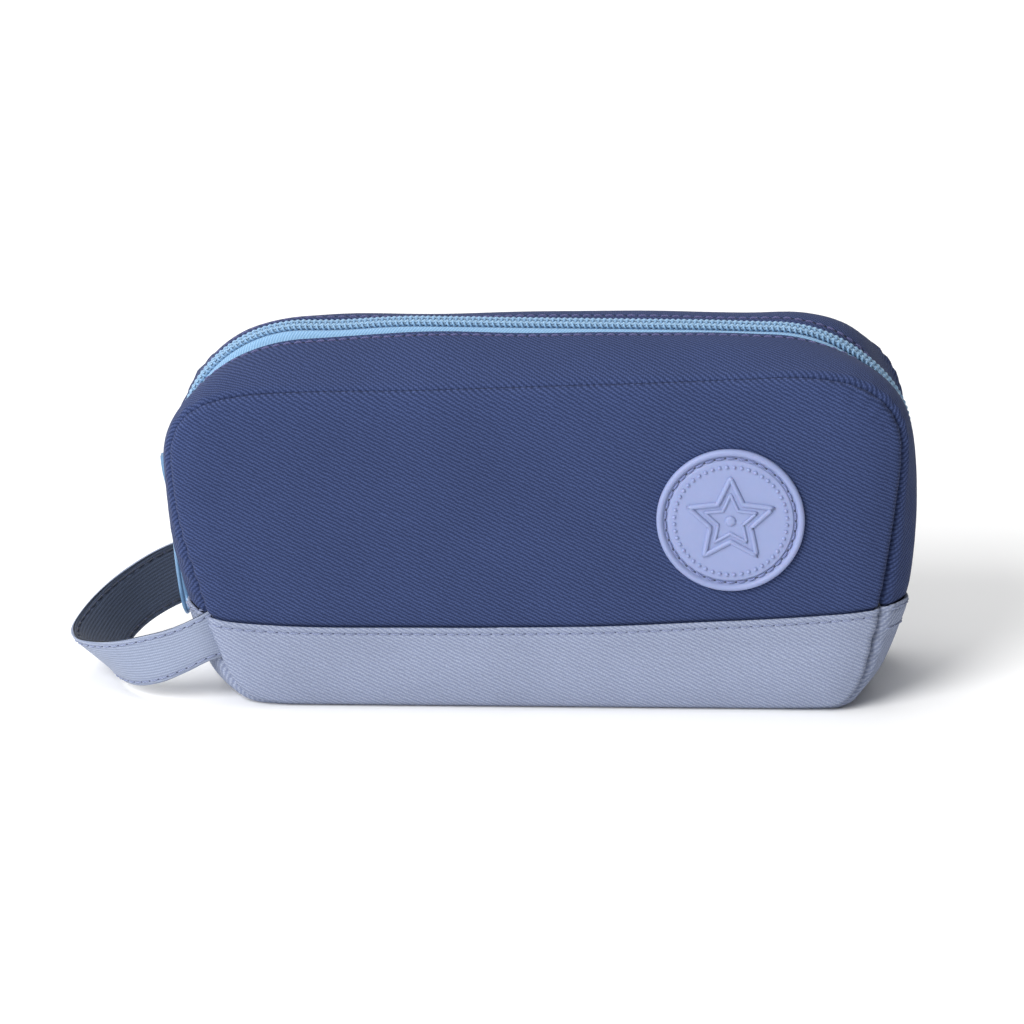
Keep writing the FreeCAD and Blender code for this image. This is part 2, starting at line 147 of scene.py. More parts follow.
ZIP_STITCH_Y = 7.7

NEAR, FAR = -1, 1           # front and back sides of the case

# Along the upper half of the case: how far the zip and the folded edges stand out from the zip curve.
ZIP_LIFT = (
    (-55, 0), (-46, 0.9), (-36, 1.4), (0, 1.1), (45, 0.9), (66, 0.4), (85, 0.9), (92, 1.5), (97, 2.7),
    (101, 2.9),
)
FOLD_LIFT = {
    NEAR: (
        (-101, 0.6), (-95, 0.3), (-90, -0.6), (-85, -1.6), (-76, -2.9), (-65, -2.9), (-55, -1.6),
        (-34, -0.3), (0, 0.3), (41, 0.5), (67, -0.1), (76, 0.3), (86, 0.9), (93, 1.1), (97, 1.5), (102, 1.6),
    ),
    FAR: ((-101, 0.2), (-85, -0.3), (-65, -0.3), (-34, 0.4), (41, 0.5), (76, 0.0), (95, 0.6), (102, 0.9)),
}
LIFT_SMOOTHING = 60


# ---- small helpers ------------------------------------------------------------------------
def smoothstep(x, low, high):
    t = np.clip((np.asarray(x, float) - low) / (high - low), 0, 1)
    return t * t * (3 - 2 * t)


def unit(vectors):
    return vectors / np.maximum(np.linalg.norm(vectors, axis=-1, keepdims=True), 1e-12)


def spline(points, step, closed):
    """Points along a smooth curve through the control points, about a step apart."""
    p = np.array(points, float)
    count = len(p)
    if closed:
        before, after = np.roll(p, 1, 0), np.roll(p, -1, 0)
    else:
        before = np.vstack([2 * p[0] - p[1], p[:-1]])
        after = np.vstack([p[1:], 2 * p[-1] - p[-2]])
    into = np.linalg.norm(p - before, axis=1)[:, None]
    out = np.linalg.norm(after - p, axis=1)[:, None]
    slope = ((p - before) / into * out + (after - p) / out * into) / (into + out)
    made = []
    for i in range(count if closed else count - 1):
        j = (i + 1) % count
        length = out[i, 0]
        t = np.linspace(0, 1, max(2, math.ceil(length / step)), endpoint=False)[:, None]
        h1, h2 = 2 * t**3 - 3 * t**2 + 1, t**3 - 2 * t**2 + t
        h3, h4 = -2 * t**3 + 3 * t**2, t**3 - t**2
        made.append(h1 * p[i] + h2 * slope[i] * length + h3 * p[j] + h4 * slope[j] * length)
    if not closed:
        made.append(p[-1:])
    return np.vstack(made)


def arc_lengths(line):
    return np.concatenate([[0], np.cumsum(np.linalg.norm(np.diff(line, axis=0), axis=1))])


def evenly(line, count=None, step=None):
    """The same line with its points evenly spaced."""
    along = arc_lengths(line)
    count = count or max(2, round(along[-1] / step) + 1)
    places = np.linspace(0, along[-1], count)
    return np.stack([np.interp(places, along, line[:, k]) for k in range(line.shape[1])], axis=1)


def softened(values, passes):
    """A closed row of numbers or points, each averaged with its neighbours in every pass."""
    for _ in range(passes):
        values = (np.roll(values, 1, 0) + 2 * values + np.roll(values, -1, 0)) / 4
    return values


def closed_curve(points):
    curve = spline(points, CURVE_STEP, True)
    curve = evenly(np.vstack([curve, curve[:1]]), step=CURVE_STEP)[:-1]
    curve = softened(curve, CURVE_SMOOTHING)
    curve[:, 1] = np.maximum(curve[:, 1], 0)
    return curve


def zip_outline():
    """The zip curve: flat base, rounded corners, ends that lean in towards the base."""
    lean = math.radians(ZIP_TAPER)
    cx, cz = ZIP_HALF_WIDTH - ZIP_TOP_RADIUS, ZIP_HEIGHT - ZIP_TOP_RADIUS
    side_x = cx + ZIP_TOP_RADIUS * math.cos(lean)
    side_z = cz - ZIP_TOP_RADIUS * math.sin(lean)
    foot = side_x - side_z * math.tan(lean) - ZIP_BASE_RADIUS * math.tan((math.pi / 2 - lean) / 2)
    low = np.linspace(-math.pi / 2, -lean, 24)
    high = np.linspace(-lean, math.pi / 2, 60)
    right = [(0.0, 0.0)]
    right += [(foot + ZIP_BASE_RADIUS * math.cos(a), ZIP_BASE_RADIUS * (1 + math.sin(a))) for a in low]
    right += [(cx + ZIP_TOP_RADIUS * math.cos(a), cz + ZIP_TOP_RADIUS * math.sin(a)) for a in high]
    left = [(-x, z) for x, z in reversed(right[1:])]
    line = np.array(right + left + right[:1], float)
    return evenly(line, step=CURVE_STEP)[:-1]


def standing_out(line, lifts):
    """Offsets outwards for points on the zip curve, from a table by x, for its upper half."""
    x, z = line.T
    amount = np.interp(x, *np.array(lifts, float).T) * smoothstep(z, 52, 78)
    return softened(amount, LIFT_SMOOTHING)


def directions(line, closed):
    return unit(np.roll(line, -1, 0) - np.roll(line, 1, 0) if closed else np.gradient(line, axis=0))


def curve_normals(line, closed=True):
    """Outward directions in the XZ plane of a curve that runs anticlockwise."""
    along = directions(line, closed)
    return np.stack([along[:, 1], -along[:, 0]], axis=1)


def xyz(x, y, z):
    """Points from their coordinates, any of which may be one number for all."""
    return np.stack(np.broadcast_arrays(x, y, z), axis=-1).astype(float)


def stations(curve):
    """Points round a closed curve that match from curve to curve, by eight key places."""
    x, z = curve.T
    upper, right = z > 50, x > 0
    end = np.where(upper, 1e3, 0) + np.abs(z - KEY_HEIGHT)
    keys = [
        np.argmin(np.abs(x) + np.where(upper, 1e3, 0)),
        np.argmax(x - z),
        np.argmin(end + np.where(right, 0, 1e3)),
        np.argmax(x + z),
        np.argmin(np.abs(x) + np.where(upper, 0, 1e3)),
        np.argmax(z - x),
        np.argmin(end + np.where(right, 1e3, 0)),
        np.argmax(-x - z),
    ]
    around = np.vstack([curve, curve, curve[:1]])
    first, made = keys[0], []
    for start, stop, count in zip(keys, keys[1:] + [first], SPANS):
        start = first + (start - first) % len(curve)
        stop = start + ((stop - start) % len(curve) or len(curve))
        made.append(evenly(around[start:stop + 1], count=count + 1)[:-1])
    return np.vstack(made)


JOINT_LOWEST = (-45.0, 24.7)   # x and z of the lowest place of the joint
JOINT_CURVE = 0.00029       # rise for each square millimetre away from it
JOINT_LEFT_LIFT = 2.8       # extra rise of the joint's left end


def joint_height(x):
    """Height of the curved edge where pale cloth meets navy cloth."""
    lowest_x, lowest_z = JOINT_LOWEST
    lifted_end = JOINT_LEFT_LIFT * np.exp(-np.maximum(x + 97, 0) / 6)
    return lowest_z + JOINT_CURVE * (x - lowest_x) ** 2 + lifted_end


def scene_object(name, data):
    thing = bpy.data.objects.new(name, data)
    bpy.context.scene.collection.objects.link(thing)
    return thing


def mesh_object(name, points, faces, materials, uvs=None):
    """Object from points in mm, faces, materials and a weave UV for each point."""
    mesh = bpy.data.meshes.new(name)
    mesh.from_pydata((np.asarray(points) * MM).tolist(), [], faces)
    if uvs is not None:
        put_uvs(mesh, np.asarray(uvs))
    mesh.polygons.foreach_set("use_smooth", [True] * len(mesh.polygons))
    mesh.update()
    for material in materials:
        mesh.materials.append(material)
    return scene_object(name, mesh)


def put_uvs(mesh, per_point):
    layer = mesh.uv_layers.new(name="weave")
    corners = np.zeros(len(mesh.loops), int)
    mesh.loops.foreach_get("vertex_index", corners)
    layer.data.foreach_set("uv", per_point[corners].astype(np.float32).ravel())


def thicken(thing, thickness):
    """Gives a sheet its thickness, inwards, as plain mesh faces."""
    solid = thing.modifiers.new("thickness", "SOLIDIFY")
    solid.thickness = thickness * MM
    solid.offset = -1.0
    solid.use_rim = True
    graph = bpy.context.evaluated_depsgraph_get()
    made = bpy.data.meshes.new_from_object(thing.evaluated_get(graph), depsgraph=graph)
    thing.modifiers.clear()
    old, thing.data = thing.data, made
    bpy.data.meshes.remove(old)
    made.name = thing.name
    made.polygons.foreach_set("use_smooth", [True] * len(made.polygons))
    return thing


def grid_faces(rows, count, rows_closed=False, closed=False):
    """Four-sided faces over rows of points; the rows, or the points in each, may close up."""
    return [
        (r * count + i, r * count + (i + 1) % count, (r + 1) % rows * count + (i + 1) % count,
         (r + 1) % rows * count + i)
        for r in range(rows - (not rows_closed)) for i in range(count - (not closed))
    ]


def tube(line, radius, sides, closed=False):
    """Points and faces of a round tube along a line; radius may change along it."""
    line = np.asarray(line, float)
    count = len(line)
    radius = np.broadcast_to(np.asarray(radius, float), (count,))
    along = directions(line, closed)
    across = unit(np.cross(along, (0.31, 0.17, 0.94)))
    up = np.cross(across, along)
    turn = np.arange(sides) * 2 * math.pi / sides
    ring = np.cos(turn)[None, :, None] * across[:, None] + np.sin(turn)[None, :, None] * up[:, None]
    points = (line[:, None] + ring * radius[:, None, None]).reshape(-1, 3)
    faces = grid_faces(count, sides, closed, True)
    if not closed:
        faces.append(tuple(range(sides)))
        faces.append(tuple(reversed(range((count - 1) * sides, count * sides))))
    return points, faces


class Parts:
    """Collects points, faces and material numbers for one mesh object."""

    def __init__(self):
        self.points, self.faces, self.slots, self.count = [], [], [], 0

    def add(self, points, faces, slot=0):
        self.points.append(np.asarray(points, float))
        self.faces += [tuple(i + self.count for i in f) for f in faces]
        self.slots += [slot] * len(faces)
        self.count += len(points)

    def build(self, name, materials):
        made = mesh_object(name, np.vstack(self.points), self.faces, materials)
        made.data.polygons.foreach_set("material_index", self.slots)
        turn_outwards(made.data)
        return made


def turn_outwards(mesh):
    """Turns the faces of every closed shell in a mesh outwards."""
    work = bmesh.new()
    work.from_mesh(mesh)
    bmesh.ops.recalc_face_normals(work, faces=work.faces)
    work.to_mesh(mesh)
    work.free()


# ---- materials ----------------------------------------------------------------------------
looks = {}                  # materials by name


class Shader:
    """A Principled material and short ways to add nodes to it."""

    def __init__(self, name, roughness, **constants):
        self.material = looks[name] = bpy.data.materials.new(name)
        self.material.use_nodes = True
        self.tree = self.material.node_tree
        self.surface = self.tree.nodes["Principled BSDF"]
        self.surface.inputs["Roughness"].default_value = roughness
        for socket, value in constants.items():
            self.surface.inputs[socket.replace("_", " ").title().replace("Ior", "IOR")].default_value = value

    def add(self, kind, inputs=(), **settings):
        """Adds a node, with pairs of a socket and its value or link, and gives its outputs."""
        node = self.tree.nodes.new("ShaderNode" + kind)
        for key, value in settings.items():
            setattr(node, key, value)
        for socket, value in inputs:
            self.feed(node.inputs[socket], value)
        return node.outputs

    def feed(self, socket, value):
        if isinstance(value, bpy.types.NodeSocket):
            self.tree.links.new(value, socket)
        else:
            socket.default_value = value

    def math(self, operation, *values):
        return self.add("Math", enumerate(values), operation=operation)[0]

    def wave(self, phase):
        """From 0 to 1 and back once for each whole step of the phase."""
        turned = self.math("COSINE", self.math("MULTIPLY", phase, 2 * math.pi))
        return self.math("MULTIPLY_ADD", turned, 0.5, 0.5)

    def spread(self, value, low, high):
        return self.add("MapRange", (("Value", value), ("To Min", low), ("To Max", high)))[0]

    def mix(self, share, first, second):
        return self.add("Mix", ((0, share), (6, first), (7, second)), data_type="RGBA")[2]

    def scaled(self, colour, factor):
        return self.add("VectorMath", ((0, colour), ("Scale", factor)), operation="SCALE")[0]

    def noise(self, vector, scale, detail=2.0):
        return self.add("TexNoise", (("Vector", vector), ("Scale", scale), ("Detail", detail)))["Fac"]

    def weave_axes(self):
        """The weave UV, in mm, along and across the cloth."""
        uv = self.add("UVMap", uv_map="weave")[0]
        split = self.add("SeparateXYZ", [(0, uv)])
        return uv, split[0], split[1]

    def place(self):
        return self.add("TexCoord")["Object"]

    def turned(self, u, v, degrees, pitch):
        """Phase that grows by one for each pitch, square to lines at that angle."""
        a = math.radians(degrees)
        part = self.math("MULTIPLY", u, -math.sin(a) / pitch)
        return self.math("MULTIPLY_ADD", v, math.cos(a) / pitch, part)

    def bump(self, height, depth, strength=1.0):
        inputs = (("Strength", strength), ("Distance", depth * MM), ("Height", height))
        self.feed(self.surface.inputs["Normal"], self.add("Bump", inputs)[0])

    def colour(self, share, dark, light, factor=None):
        """Base colour between two sRGB colours, times a factor."""
        tone = self.mix(share, rgb(*dark), rgb(*light))
        self.feed(self.surface.inputs["Base Color"], self.scaled(tone, factor) if factor else tone)

    def roughness(self, share, low, high):
        self.feed(self.surface.inputs["Roughness"], self.spread(share, low, high))


LIGHT_GAIN = 1.42           # how much brighter the studio is than plain white light


def rgb(red, green, blue):
    """Cloth colour that looks like an sRGB colour, from 0 to 255, under the studio's light."""
    def linear(c):
        c /= 255
        return (c / 12.92 if c <= 0.04045 else ((c + 0.055) / 1.055) ** 2.4) / LIGHT_GAIN
    return (linear(red), linear(green), linear(blue), 1.0)


def twill(name, valley, ridge, angle, pitch=0.95):
    """Twill cloth: slanting ridges made of short floats, with uneven yarns and soft mottling."""
    s = Shader(name, 0.85, sheen_weight=0.04, sheen_roughness=0.5, specular_ior_level=0.12)
    uv, u, v = s.weave_axes()
    wander = s.spread(s.noise(s.scaled(uv, 0.5), 1.0, 4.0), -0.45, 0.45)
    across = s.math("ADD", s.turned(u, v, angle, pitch), wander)
    along = s.turned(u, v, angle + 70, 0.75)
    step = s.math("MULTIPLY", s.math("FLOOR", across), 0.41)
    ridges, floats = s.wave(across), s.wave(s.math("ADD", along, step))
    height = s.math("MULTIPLY", ridges, s.spread(floats, 0.3, 1.0))
    yarn = s.spread(s.noise(s.scaled(uv, 1.7), 1.0, 3.0), 0.72, 1.28)
    mottle = s.spread(s.noise(s.place(), 42.0, 3.0), 0.9, 1.1)
    tone = s.math("MULTIPLY", yarn, mottle)
    s.colour(height, valley, ridge, tone)
    s.roughness(height, 0.9, 0.74)
    s.bump(height, 0.16, 0.8)


def ribbed(name, valley, ridge, angle, pitch, depth, roughness=0.8):
    """Woven tape or webbing: fine ribs crossed by finer yarns."""
    s = Shader(name, roughness, sheen_weight=0.15, sheen_roughness=0.5, specular_ior_level=0.3)
    uv, u, v = s.weave_axes()
    ribs = s.wave(s.turned(u, v, angle, pitch))
    yarns = s.wave(s.turned(u, v, angle + 90, pitch * 0.62))
    height = s.math("MULTIPLY", ribs, s.spread(yarns, 0.55, 1.0))
    tone = s.spread(s.noise(s.scaled(uv, 1.4), 1.0, 3.0), 0.85, 1.15)
    s.colour(height, valley, ridge, tone)
    s.bump(height, depth)


def spun_thread(name, dark, light):
    """Twisted sewing thread: fine plies that wind round it."""
    s = Shader(name, 0.62, sheen_weight=0.2, specular_ior_level=0.35)
    place = s.place()
    plies = s.add(
        "TexWave", (("Vector", place), ("Scale", 900.0), ("Distortion", 1.5)), bands_direction="DIAGONAL",
    )["Fac"]
    tone = s.spread(s.noise(place, 900.0), 0.85, 1.15)
    s.colour(plies, dark, light, tone)
    s.bump(plies, 0.05)


def grained(name, dark, light, roughness, grain, tone=None, relief=None, **constants):
    """Smooth material with a fine grain, which can dent it, and a slower change of tone.

    Roughness is its least, usual and greatest value; grain and tone are a noise's scale and detail.
    """
    least, usual, greatest = roughness
    s = Shader(name, usual, **constants)
    place = s.place()
    fine = s.noise(place, *grain)
    s.colour(s.noise(place, *tone) if tone else fine, dark, light)
    s.roughness(fine, least, greatest)
    if relief:
        s.bump(fine, *relief)


# Smooth grained material, used for the zip's nylon coil and also for the painted shade inside needle holes.
def nylon_and_hole_shade(name, dark, light, usual):
    spread = (usual - 0.06, usual, usual + 0.08)
    grained(name, dark, light, spread, (1400, 2), (60, 2), (0.02, 0.6), specular_ior_level=0.45)


PANEL_TWILL = -28.0         # slant of the twill's ridges, in degrees
STRIP_TWILL = 36.5


def make_materials():
    navy = (43, 55, 92), (82, 99, 150)      # valleys and ridges of the weave, as sRGB
    pale = (138, 148, 177), (187, 197, 221)
    lacquer = {"metallic": 0.25, "coat_weight": 0.5, "coat_roughness": 0.15}
    rubbery = {"specular_ior_level": 0.4, "subsurface_weight": 0.08, "subsurface_scale": 0.002}
    twill("navy_twill", *navy, PANEL_TWILL)
    twill("navy_twill_strip", *navy, STRIP_TWILL)
    twill("pale_twill", *pale, PANEL_TWILL)
    twill("pale_twill_strip", *pale, STRIP_TWILL)
    ribbed("strap_ribs", (140, 151, 178), (172, 183, 208), 4, 0.9, 0.1)
    ribbed("slate_webbing", (54, 64, 83), (76, 88, 111), 3, 0.9, 0.1)
    ribbed("lining_cloth", (116, 121, 132), (158, 163, 172), 0, 0.5, 0.05)
    ribbed("binding_tape", (40, 46, 66), (70, 78, 104), 0, 0.7, 0.08)
    ribbed("zip_tape", (122, 168, 212), (168, 208, 242), 38, 0.55, 0.07, 0.72)
    nylon_and_hole_shade("zip_coil", (128, 172, 216), (148, 190, 228), 0.36)
    spun_thread("zip_thread", (140, 182, 220), (176, 210, 238))
    grained(
        "zip_metal", (112, 158, 206), (134, 178, 220), (0.28, 0.34, 0.42), (700, 2), (180, 4),
        (0.03, 0.5), **lacquer,
    )
    grained(
        "spring_steel", (150, 154, 160), (198, 201, 206), (0.22, 0.3, 0.4), (2600, 3), metallic=1.0,
    )
    grained(
        "soft_pvc", (150, 163, 209), (159, 171, 217), (0.44, 0.5, 0.6), (1100, 2), (90, 3),
        (0.03, 0.7), **rubbery,
    )
    spun_thread("thread_navy", (70, 72, 122), (104, 106, 160))
    spun_thread("thread_pale", (122, 133, 170), (164, 175, 208))
    spun_thread("thread_slate", (30, 37, 54), (52, 61, 82))
    spun_thread("thread_lilac", (112, 124, 178), (142, 154, 204))
    # Painted shade: these two materials colour short dark tubes that stand for the shade inside each needle
    # hole.
    nylon_and_hole_shade("needle_hole_shade_navy", (22, 25, 44), (30, 33, 56), 0.9)
    nylon_and_hole_shade("needle_hole_shade_pale", (66, 72, 100), (82, 88, 118), 0.9)


# ---- sewn shell: form ---------------------------------------------------------------------
def soft_waves(x, z, side):
    """Low swells of slack cloth, in mm."""
    swell = 0.34 * np.sin(x / 17.0 + z / 23.0 + 0.8 + side) * np.sin(z / 15.0 - x / 41.0 + 0.3)
    swell += 0.22 * np.sin(x / 8.5 - z / 11.0 + 1.7 * side) * np.sin(x / 27.0 + z / 9.5 + 1.1)
    return swell


def pucker(points, seam_distance, station_length):
    """Short wrinkles square to the seam, where the seam's turn gathers the cloth."""
    x, z = points[..., 0], points[..., 2]
    places = ((-97, 40, 15, 0.42), (-95, 87, 9, 0.26), (97, 91, 10, 0.3), (95, 24, 12, 0.3))
    amount = sum(
        size * np.exp(-((x - px) ** 2 + (z - pz) ** 2) / (2 * width**2))
        for px, pz, width, size in places
    )
    ripple = np.sin(station_length * 2 * math.pi / 5.6 + 1.4 * np.sin(station_length / 7.0))
    return amount * ripple * np.exp(-((seam_distance - 2.4) / 3.6) ** 2)


def groove_depth(x, z):
    """How deep the panel seam sits: slight along the top's middle, deep at the corners and right."""
    right = smoothstep(x, 62, 84)
    left = smoothstep(-x, 60, 92)
    low = smoothstep(-z, -24, -6)
    return 0.6 + 1.1 * right + 0.7 * left + 0.3 * low


class Shell:
    """The whole outer surface as closed loops of stations and two inner panel patches."""

    def __init__(self):
        self.zip = stations(zip_outline())
        self.count = len(self.zip)
        self.length = arc_lengths(np.vstack([self.zip, self.zip[:1]]))
        self.seam, self.bulge = {}, {}
        for side, seam_top, bulge_top in (
            (NEAR, SEAM_TOP_FRONT, BULGE_TOP_FRONT), (FAR, SEAM_TOP_BACK, BULGE_TOP_BACK),
        ):
            self.seam[side] = stations(closed_curve(SEAM_RIGHT + seam_top + SEAM_LEFT))
            self.bulge[side] = stations(closed_curve(BULGE_RIGHT + bulge_top + BULGE_LEFT))
        below = (1 - smoothstep(self.zip[:, 1], 4, KEY_HEIGHT))[:, None]
        self.zip = self.zip + (self.bulge[NEAR] - self.zip) * below
        self.loops, self.distance, self.zones, self.across = [], [], [], []
        self.build_loops()
        self.build_mesh()

    def fold_curve(self, side):
        """The folded edge's curve beside the zip, and its outward directions."""
        outwards = curve_normals(self.zip)
        lift = standing_out(self.zip, FOLD_LIFT[side])
        return self.zip + outwards * lift[:, None], outwards

    def add_loop(self, xz, y, distance, zone, across):
        """Adds a loop and the zone of the faces between it and the one before."""
        self.loops.append(xyz(xz[:, 0], y, xz[:, 1]))
        self.distance.append(np.full(self.count, distance))
        self.zones.append(zone)
        self.across.append(across)

    @staticmethod
    def dome(distance):
        """How far a panel stands out of its seam's plane at a distance from the seam."""
        return 2.9 * (1 - np.exp(-distance / 3.2)) + 1.9 * (1 - np.exp(-distance / 14.0))

    def ring(self, side, distance):
        """The seam's curve set in by a distance."""
        return self.seam[side] - curve_normals(self.seam[side]) * distance

    def half(self, side):
        """Gusset loops from the seam to the folded edge and its roll."""
        fold, outwards = self.fold_curve(side)
        seam, bulge = self.seam[side], self.bulge[side]
        made = []
        for y in GUSSET_ROWS:
            to_seam, to_bulge, to_fold = y - SEAM_Y, y - BULGE_Y, y - FOLD_Y
            a = to_bulge * to_fold / ((SEAM_Y - BULGE_Y) * (SEAM_Y - FOLD_Y))
            b = to_seam * to_fold / ((BULGE_Y - SEAM_Y) * (BULGE_Y - FOLD_Y))
            c = to_seam * to_bulge / ((FOLD_Y - SEAM_Y) * (FOLD_Y - BULGE_Y))
            made.append((a * seam + b * bulge + c * fold, y))
        open_share = smoothstep(self.zip[:, 1], 29, 36)[:, None]
        for y, drop in FOLD_ROLL:
            made.append((fold - outwards * drop * open_share, y))
        return made

    def build_loops(self):
        for d in SEAM_ROWS:
            self.add_loop(self.ring(NEAR, d), -SEAM_Y - self.dome(d), d, "front", 0.0)
        front, back = self.half(NEAR), self.half(FAR)
        for xz, y in front:
            zone = "front" if y == SEAM_Y else "gusset_front" if y >= LINED_Y else "roll_front"
            self.add_loop(xz, -y, SEAM_Y - y, zone, -y)
        for y in MIDDLE_ROWS + (-MIDDLE_ROWS[0],):
            self.add_loop(self.zip, -y, SEAM_Y, "middle", -y)
        for index, (xz, y) in enumerate(reversed(back)):
            zone = "gusset_back" if y > LINED_Y else "roll_back" if index else "middle"
            self.add_loop(xz, y, SEAM_Y - y, zone, y)
        for d in reversed(SEAM_ROWS):
            self.add_loop(self.ring(FAR, d), SEAM_Y + self.dome(d), d, "back", 0.0)

    def patch(self, side, ring):
        """Inner panel points over the ring, as a smooth four-sided patch."""
        wide, tall = SPANS[0] * 2, SPANS[1] + SPANS[2]
        wide_steps, tall_steps = np.arange(wide + 1), np.arange(tall + 1)
        base = (wide_steps - SPANS[0]) % self.count
        right = (base[-1] + tall_steps) % self.count
        top = (right[-1] + wide - wide_steps) % self.count
        left = (base[0] - tall_steps) % self.count
        p = ring[:, [0, 2]]
        u = np.linspace(0, 1, wide + 1)[None, :, None]
        v = np.linspace(0, 1, tall + 1)[:, None, None]
        rows = (1 - v) * p[base][None] + v * p[top][None]
        columns = (1 - u) * p[left][:, None] + u * p[right][:, None]
        corners = (1 - u) * (1 - v) * p[base[0]] + u * (1 - v) * p[base[-1]]
        corners = corners + (1 - u) * v * p[top[0]] + u * v * p[top[-1]]
        xz = rows + columns - corners
        flat = xz.reshape(-1, 2)
        gap = np.min(np.linalg.norm(flat[:, None] - self.seam[side][None], axis=2), axis=1)
        gap = np.maximum(gap, SEAM_ROWS[0])
        points = xyz(flat[:, 0], side * (SEAM_Y + self.dome(gap)), flat[:, 1])
        return points, gap, (base, right, top, left), (tall + 1, wide + 1)

    def build_mesh(self):
        n, loops = self.count, len(self.loops)
        points = [np.vstack(self.loops)]
        distance = [np.concatenate(self.distance)]
        faces = grid_faces(loops, n, closed=True)
        zones = [zone for zone in self.zones[1:] for _ in range(n)]
        total = loops * n
        for side, loop, zone in ((NEAR, 0, "front"), (FAR, loops - 1, "back")):
            inner, gap, borders, shape = self.patch(side, self.loops[loop])
            index = np.arange(total, total + len(inner)).reshape(shape)
            base, right, top, left = borders
            index[0], index[-1] = loop * n + base, loop * n + top
            index[:, 0], index[:, -1] = loop * n + left, loop * n + right
            corners = index.ravel()
            inner_faces = [tuple(corners[list(f)]) for f in grid_faces(*shape)]
            faces += inner_faces
            zones += [zone] * len(inner_faces)
            points.append(inner)
            distance.append(gap)
            total += len(inner)
        self.points = np.vstack(points)
        self.seam_distance = np.concatenate(distance)
        self.faces, self.face_zones = faces, zones

    def relaxed(self):
        """The points with swells, puckers, the seam's groove and the stitched line pressed in."""
        mesh = bpy.data.meshes.new("shell")
        mesh.from_pydata(self.points.tolist(), [], self.faces)
        turn_outwards(mesh)
        normals = np.zeros(len(self.points) * 3, np.float32)
        mesh.vertex_normals.foreach_get("vector", normals)
        normals = normals.reshape(-1, 3).astype(float)
        bpy.data.meshes.remove(mesh)
        p = self.points
        x, y, z = p.T
        side = np.where(y < 0, NEAR, FAR)
        length = np.zeros(len(p))
        looped = len(self.loops) * self.count
        length[:looped] = np.tile(self.length[:-1], len(self.loops))
        move = soft_waves(x, z, side) * smoothstep(self.seam_distance, 2, 16)
        move *= smoothstep(z, 1, 12)
        depth = groove_depth(x, z)
        move -= depth * np.exp(-self.seam_distance / 0.55)
        move -= smoothstep(depth, 0.8, 1.7) * np.exp(-((self.seam_distance / 0.3) ** 2))
        move += 0.2 * depth * np.exp(-((self.seam_distance - 1.9) / 1.0) ** 2)
        move += pucker(p, self.seam_distance, length) * (np.arange(len(p)) < looped)
        stitched = np.exp(-((np.abs(y) - ZIP_STITCH_Y) / 0.28) ** 2) * smoothstep(z, 29, 33)
        move -= 0.28 * stitched * (np.abs(y) < SEAM_Y - 1)
        stiff = smoothstep(-np.hypot(x - badge_x, z - badge_z), -badge_radius - 7, -badge_radius)
        moved = p + normals * move[:, None]
        flat = (side == NEAR) * stiff * (self.seam_distance >= SEAM_ROWS[0])
        moved[:, 1] += flat * (badge_back - moved[:, 1])
        moved[:, 2] = np.maximum(moved[:, 2], FLOOR_GAP)
        return moved, normals

    def cut(self):
        """Makes the shell a mesh, cut along lines that follow the joint, with its zones and heights."""
        self.zone_names = sorted(set(self.face_zones))
        points, normals = self.relaxed()
        work = self.work = bmesh.new()
        plain = work.verts.layers.float_vector.new("plain")
        outward_way = work.verts.layers.float_vector.new("outward")
        corners = [work.verts.new(c) for c in points.tolist()]
        for corner, place, way in zip(corners, self.points.tolist(), normals.tolist()):
            corner[plain], corner[outward_way] = place, way
        uv = work.loops.layers.uv.new("weave")
        self.tag = work.faces.layers.int.new("zone")
        n = self.count
        looped = len(self.loops) * n
        for face, zone in zip(self.faces, self.face_zones):
            made = work.faces.new([corners[i] for i in face])
            made[self.tag] = self.zone_names.index(zone)
            panel = zone in ("front", "back")
            wrap = not panel and {i % n for i in face} == {0, n - 1}
            for corner, i in zip(made.loops, face):
                if panel or i >= looped:
                    corner[uv].uv = (points[i][0], points[i][2])
                else:
                    station = i % n
                    along = self.length[-1] if wrap and station == 0 else self.length[station]
                    corner[uv].uv = (along, self.across[i // n])
        bmesh.ops.recalc_face_normals(work, faces=work.faces)
        for v in work.verts:
            v.co.z -= joint_height(v.co.x)
        for line in EDGE_LINES:
            everything = work.verts[:] + work.edges[:] + work.faces[:]
            bmesh.ops.bisect_plane(
                work, geom=everything, dist=0.02, plane_co=(0, 0, line), plane_no=(0, 0, 1),
            )
        self.above = np.array([v.co.z for v in work.verts])
        for v in work.verts:
            v.co.z += joint_height(v.co.x)
        work.normal_update()
        work.verts.index_update()

